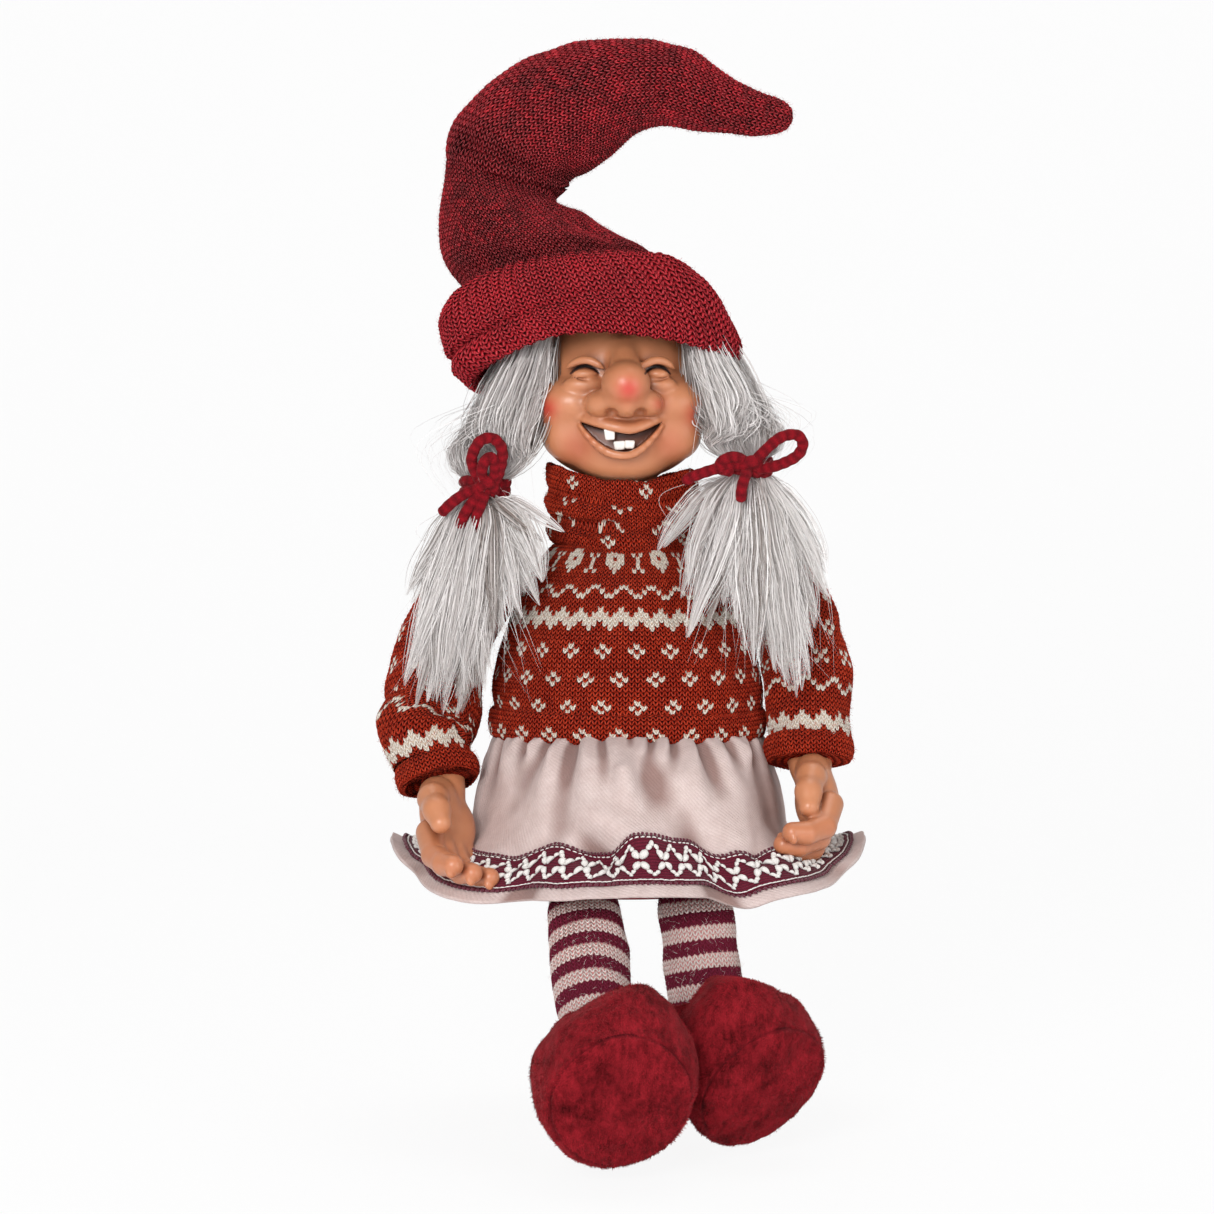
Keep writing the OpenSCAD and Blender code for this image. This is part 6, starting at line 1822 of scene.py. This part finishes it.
def make_pigtail(side, material, seed):
    """Bunch of hair below a tie: tufts that swell, fan out and end in points of their own."""
    r = rng(seed)
    strands = Strands(seed + 1)
    tie = TIES[side]
    steps = 18
    sag = np.array(SAG, float)[::-1]
    low = min(z for x, z, forward, weight in TUFTS[side])
    for x, z, forward, weight in TUFTS[side]:
        for _ in range(max(2, int(round(9 * weight)))):
            per = int(30 + 14 * r.uniform())
            short = r.uniform(0, 1)**1.6
            tip = np.array([x + r.normal(0, 2.2), 0, z + (tie[2] - z) * 0.40 * short + r.normal(0, 2.0)])
            across = (x - tie[0]) / 30
            bulge = np.array([across * 4.0 + r.normal(0, 3.0), 0, 0])
            way = tip - tie
            stations = np.array([tie + np.array([across * 3 + r.normal(0, 1.8), 0, 0.5]),
                                 tie + np.array([across * 6, 0, -6.0]) + 0.35 * bulge,
                                 tie + way * 0.30 + bulge, tie + way * 0.62 + bulge * 0.8,
                                 tie + way * 0.86 + bulge * 0.32, tip])
            t = np.array([0, 0.08, 0.3, 0.62, 0.86, 1])
            belly = np.sin(math.pi * t**0.6)
            depth = np.interp(stations[:, 2], sag[:, 0], sag[:, 1])
            ahead = (forward + r.normal(0, 0.45)) * 7.0
            stations[:, 1] = depth - ahead * np.clip(belly + 0.25 * t, 0.12, None)
            stations[0, 1] = tie[1] + r.normal(0, 2.2)
            wide = np.array([0.5, 1.2, 2.3, 2.2, 1.2, 0.2]) * (0.8 + 0.25 * min(1, (tie[2] - tip[2]) / 80))
            spread = r.normal(0, 1, (per, 1, 3)) * np.array([1.0, 0.75, 0.8]) * wide[None, :, None]
            paths = cut_paths(smooth_paths(stations[None] + spread, 2 * steps),
                              1 - 0.22 * r.uniform(0, 1, per)**2, steps)
            paths = paths + 0.9 * noise3(paths, 12, seed + 3, 1)[..., None] * np.array([1, 0.6, 0.2])
            # painted light and shade: tufts lying forward are lighter and those behind darker; tufts and
            # strands also vary of their own
            shade = np.clip(0.52 + 0.30 * forward + 0.24 * r.normal() + r.normal(0, 0.14, per), 0, 1)
            facing = np.zeros_like(paths) + np.array([0.35 * across, -1.0, 0.1])
            strands.add(paths, r.uniform(0.24, 0.48, per), shade, unit(facing))
    add_flyaways(strands, r, tie, low, sag, steps, side)
    piece = strands.mesh("pigtail_" + side)
    finish_piece(piece, material, "head", ("pigtail_" + side,))


def cut_paths(paths, share, count):
    """Curves cut short to a share of their length and sampled again."""
    at = share[:, None] * np.linspace(0, paths.shape[1] - 1, count)[None]
    i = np.clip(np.floor(at).astype(int), 0, paths.shape[1] - 2)
    f = (at - i)[..., None]
    row = np.arange(len(paths))[:, None]
    return paths[row, i] * (1 - f) + paths[row, i + 1] * f


def add_flyaways(strands, r, tie, low, sag, steps, side):
    """Single curling hairs that stand off from a bunch."""
    n = 140
    z = r.uniform(low + 6, tie[2] - 22, n)
    mid_x = tie[0] + (-9 if side == "left" else 6) * (tie[2] - z) / 90
    tip = np.stack([mid_x + np.clip(r.normal(0, 19, n), -31, 31),
                    np.interp(z, sag[:, 0], sag[:, 1]) - r.uniform(0, 11, n), z], 1)
    start = tie + r.normal(0, 1, (n, 3)) * np.array([4, 3, 1.0]) - np.array([0, 0, 3])
    half = (start + tip) / 2 + r.normal(0, 1, (n, 3)) * np.array([7, 2, 3])
    half[:, 1] = np.interp(half[:, 2], sag[:, 0], sag[:, 1]) - r.uniform(2, 10, n)
    paths = smooth_paths(np.stack([start, half, tip], 1), steps)
    strands.add(paths, 0.19, 0.95, np.zeros_like(paths) + np.array([0, -1.0, 0]))


# ---------------------------------------------------------------- ties

def cord_tube(points, radius):
    """Chain-stitched cord through the points, with chevron relief and rounded ends."""
    pitch, ring = 3.6, 14
    path, length = even_rows(points, max(12, int(len(points) * 16)))
    t = unit(np.gradient(path, axis=0))
    up = np.array([0.0, -1.0, 0.15])
    side = unit(np.cross(t, up))
    front = np.cross(side, t)
    s = np.linspace(0, length, len(path))[:, None]
    a = (TAU * np.arange(ring) / ring)[None]
    fold = np.abs(((s / pitch + np.abs(((a / math.pi + 0.5) % 2) - 1) * 0.55) % 1) - 0.5) * 2
    bulge = radius * (1 + 0.05 * np.sqrt(np.clip(1 - fold**2, 0, 1)) - 0.02)
    bulge = bulge + 0.12 * radius * np.abs(np.sin(2 * a + 0.8 * s))
    end = np.minimum(s, length - s)
    bulge = bulge * np.sqrt(np.clip(1 - (1 - np.clip(end / radius, 0, 1))**2, 0.02, 1))
    out = np.cos(a)[..., None] * side[:, None] + np.sin(a)[..., None] * front[:, None]
    grid = path[:, None] + bulge[..., None] * out
    # painted shade: 1 on the top of each chain stitch, 0 in the groove between
    chain_shading = np.clip(1 - fold, 0, 1)
    colour = np.stack([chain_shading + 0 * a, s / length + 0 * a, chain_shading * 0 + 0 * a], -1).reshape(-1, 3)
    return grid.reshape(-1, 3), [grid_quads(len(path), ring)], colour


# Loops and ends of each bow, as points from the tie
TIE_SHAPES = {
    "left": [
        [(1, -11, 0), (-3, -14, 5), (-5, -16, 12), (-1.5, -18, 19), (4, -18, 20), (7.5, -17, 15),
         (6, -14, 6), (3, -11, 1)],
        [(0, -12, 1), (-1, -16, 6), (0.5, -18.5, 11), (3.5, -18, 12), (4.5, -15, 6), (2, -12, 1)],
        [(0, -12, 0), (-7, -16, -2), (-13, -18, -6), (-18, -18.5, -11)],
        [(0, -12, -1), (-4, -16, -5), (-8, -17.5, -11), (-10, -17, -17)],
        [(1, -12, -1), (-1, -16, -6), (-3, -17.5, -12), (-3, -17, -19)]],
    "right": [
        [(1, -11, 0), (6, -15, 6), (13, -17, 12), (19.5, -17.5, 13), (22, -17, 9), (19, -16, 4),
         (10, -14, 0), (2, -11, -1)],
        [(-1, -12, 0), (-8, -16, 0.5), (-16, -18.5, -1.5), (-23, -19, -4), (-27, -18.5, -6.5)],
        [(0, -12, -1), (-1.5, -17, -4), (-3, -19.5, -9), (-3.2, -19, -14.5)],
        [(0, -12, 1), (-5, -16, 4), (-10, -17.5, 3), (-12, -17, -0.5), (-6, -15, -2)]]}


def make_tie(side, material):
    """Bow: two turns round the hair, the loops and ends, and the knot."""
    at = TIES[side]
    parts = []
    a = np.linspace(0, TAU, 40)
    for lift, grow in ((-1.9, 0.0), (1.9, 0.3)):
        ring = [(8.6 + grow) * np.cos(a), (8.6 + grow) * np.sin(a), lift + 0.8 * np.sin(a * 2)]
        parts.append(cord_tube(np.stack(ring, 1) + at, 2.0))
    for shape in TIE_SHAPES[side]:
        parts.append(cord_tube(np.array(shape, float) + at, 2.1))
    knot = [(-3.6, -10.5, -2.4), (-1.5, -14.2, 0.5), (1.5, -14.6, 2.2), (3.8, -11.5, -0.5), (1, -10, -3)]
    parts.append(cord_tube(np.array(knot) + at, 2.4))
    points, faces, colours = join_arrays(parts)
    piece = new_mesh("tie_" + side, points, faces)
    paint(piece, "strand", np.clip(colours, 0, 1))
    finish_piece(piece, material, "head", ("tie_" + side,))


# ---------------------------------------------------------------- hands

def turn_matrix(x, y, z):
    """Turn about x, then y, then z, in degrees."""
    cx, sx, cy, sy, cz, sz = (f(math.radians(k)) for k in (x, y, z) for f in (math.cos, math.sin))
    rx = np.array([[1, 0, 0], [0, cx, -sx], [0, sx, cx]])
    ry = np.array([[cy, 0, sy], [0, 1, 0], [-sy, 0, cy]])
    rz = np.array([[cz, -sz, 0], [sz, cz, 0], [0, 0, 1]])
    return rz @ ry @ rx


def make_hand(side, cuff, turn, roll, size, curl, material):
    """Plump vinyl hand: palm, four bent fingers and a thumb, modelled hanging down and then turned."""
    f = Field((-16, -26, -68), (26, 22, 16), 0.5)
    grow = 1.16 if side == "left" else 1.04
    f.add(f.capsule((0, 0, 14), (0, 0, 2), 8.6, 8.2), 1)
    f.add(f.ellipsoid((0.4, 0.5, -15), (7.2, 11.4, 16.5)), 5)
    f.add(f.ellipsoid((2.8, -5.5, -12), (6.0, 7.0, 10.5)), 3)
    f.add(f.ellipsoid((2.0, 6.0, -15), (5.0, 5.6, 9.5)), 3)
    spread = (-9.4, -3.3, 3.0, 8.8)
    for k, y in enumerate(spread):
        short = (0, -1.0, 0.2, 3.4)[k]
        bend = curl + (0, 2, 5, 9)[k]
        r0 = 4.5 - 0.15 * k
        base = np.array([0.2, y * 0.92, -24.5])
        knuckles = [base]
        for length, angle in ((12.0, 0.6), (8.6, 1.5), (5.6, 2.1)):
            a = math.radians(bend * angle)
            step = (length * grow - 0.4 * short) * np.array([math.sin(a), y / 70, -math.cos(a)])
            knuckles.append(knuckles[-1] + step)
        p1, p2, p3 = knuckles[1:]
        f.add(f.capsule(base, p1, r0 + 0.5, r0), 1.6)
        f.add(f.capsule(p1, p2, r0 + 0.15, r0 - 0.25), 0.9)
        f.add(f.capsule(p2, p3, r0 - 0.1, r0 - 0.7), 0.9)
        # nail: a shallow step on the back of the tip
        way = unit(p3 - p2)
        back = unit(np.cross(way, [0, 1, 0]))
        back = -back if back[0] > 0 else back
        f.add(f.ellipsoid(p3 + 0.4 * way + back * (r0 - 1.9), (1.6, 2.3, 2.7)), 0.3)
        for p in (p1, p2):
            inner = p + np.array([r0 + 0.4, 0, 0.6])
            f.cut(f.capsule(inner - np.array([0, 3, 0]), inner + np.array([0, 3, 0]), 0.45, 0.45), 1.0)
    thumb = [(3, -7, -7), (6.8, -13.0, -15), (10.2, -15.0, -23.5), (11.4, -14.6, -30)]
    for a, b, ra, rb in zip(thumb, thumb[1:], (6.4, 5.3, 4.7), (5.3, 4.8, 3.9)):
        f.add(f.capsule(a, b, ra, rb), 2.2)
    points, quads = f.surface()
    normals = f.normals(points)
    # painted shade in the creases of the fingers and knuckles
    crease_shade = f.hollow(points, normals, 2.0) ** 1.2
    tips = np.clip((-28 - points[:, 2]) / 18, 0, 1)
    m = turn_matrix(*turn)
    flip = np.array([-1 if side == "right" else 1, 1, 1])
    world = (size * points @ turn_matrix(0, 0, roll).T * flip) @ m.T + np.array(cuff, float)
    if side == "right":
        quads = quads[:, ::-1]
    piece = new_mesh("hand_" + side, world, [quads])
    colours = [0.10 * tips, np.clip(0.8 * crease_shade, 0, 1), np.zeros(len(points))]
    paint(piece, "paint", np.stack(colours, 1))
    finish_piece(piece, material, "arm_" + side, ("hand_" + side,))
    even_out(piece)


# ---------------------------------------------------------------- scene

def build():
    """The whole doll in its studio."""
    make_camera()
    make_studio()
    vinyl = vinyl_material()
    make_head(vinyl)
    make_teeth(tooth_material())
    make_hand("left", (-76.5, -30, 43), (-46, -6, 0), -38, 1.12, 24, vinyl)
    make_hand("right", (76, -20, 52), (-44, -4, 10), -8, 1.1, 42, vinyl)
    # tips is the colour of the painted highlight on raised yarn, depth the darkness of the painted gap shade
    make_hat(knit_material("hat_wool", (0.060, 0.0005, 0.002), (0.62, 0.016, 0.030),
                           tips=(0.85, 0.18, 0.20)))
    sweater = knit_material("sweater_wool", (0.29, 0.009, 0.002), (0.58, 0.040, 0.011),
                            tips=(0.74, 0.14, 0.08))
    make_sweater(sweater)
    make_sleeves(sweater)
    leg = knit_material("leg_cotton", (0.84, 0.70, 0.65), (0.93, 0.83, 0.79), figure=(0.21, 0.02, 0.05),
                        depth=0.8)
    plush = plush_material()
    for side, seed in (("left", 100), ("right", 120)):
        make_leg(side, leg, seed)
        make_boot(side, plush, seed + 10)
    skirt, cloth = make_skirt(felt_material())
    white = thread_material("white_thread", (0.70, 0.66, 0.62), (0.88, 0.86, 0.83))
    wine = thread_material("wine_thread", (0.07, 0.003, 0.015), (0.16, 0.01, 0.035))
    band = make_ribbon(skirt, ribbon_material(), white, wine)
    hair = hair_material()
    yarn = yarn_material()
    make_back_hair(hair, 300)
    for side, seed in (("left", 310), ("right", 330)):
        make_side_hair(side, hair, seed)
        make_pigtail(side, hair, seed + 10)
        make_tie(side, yarn)


build()
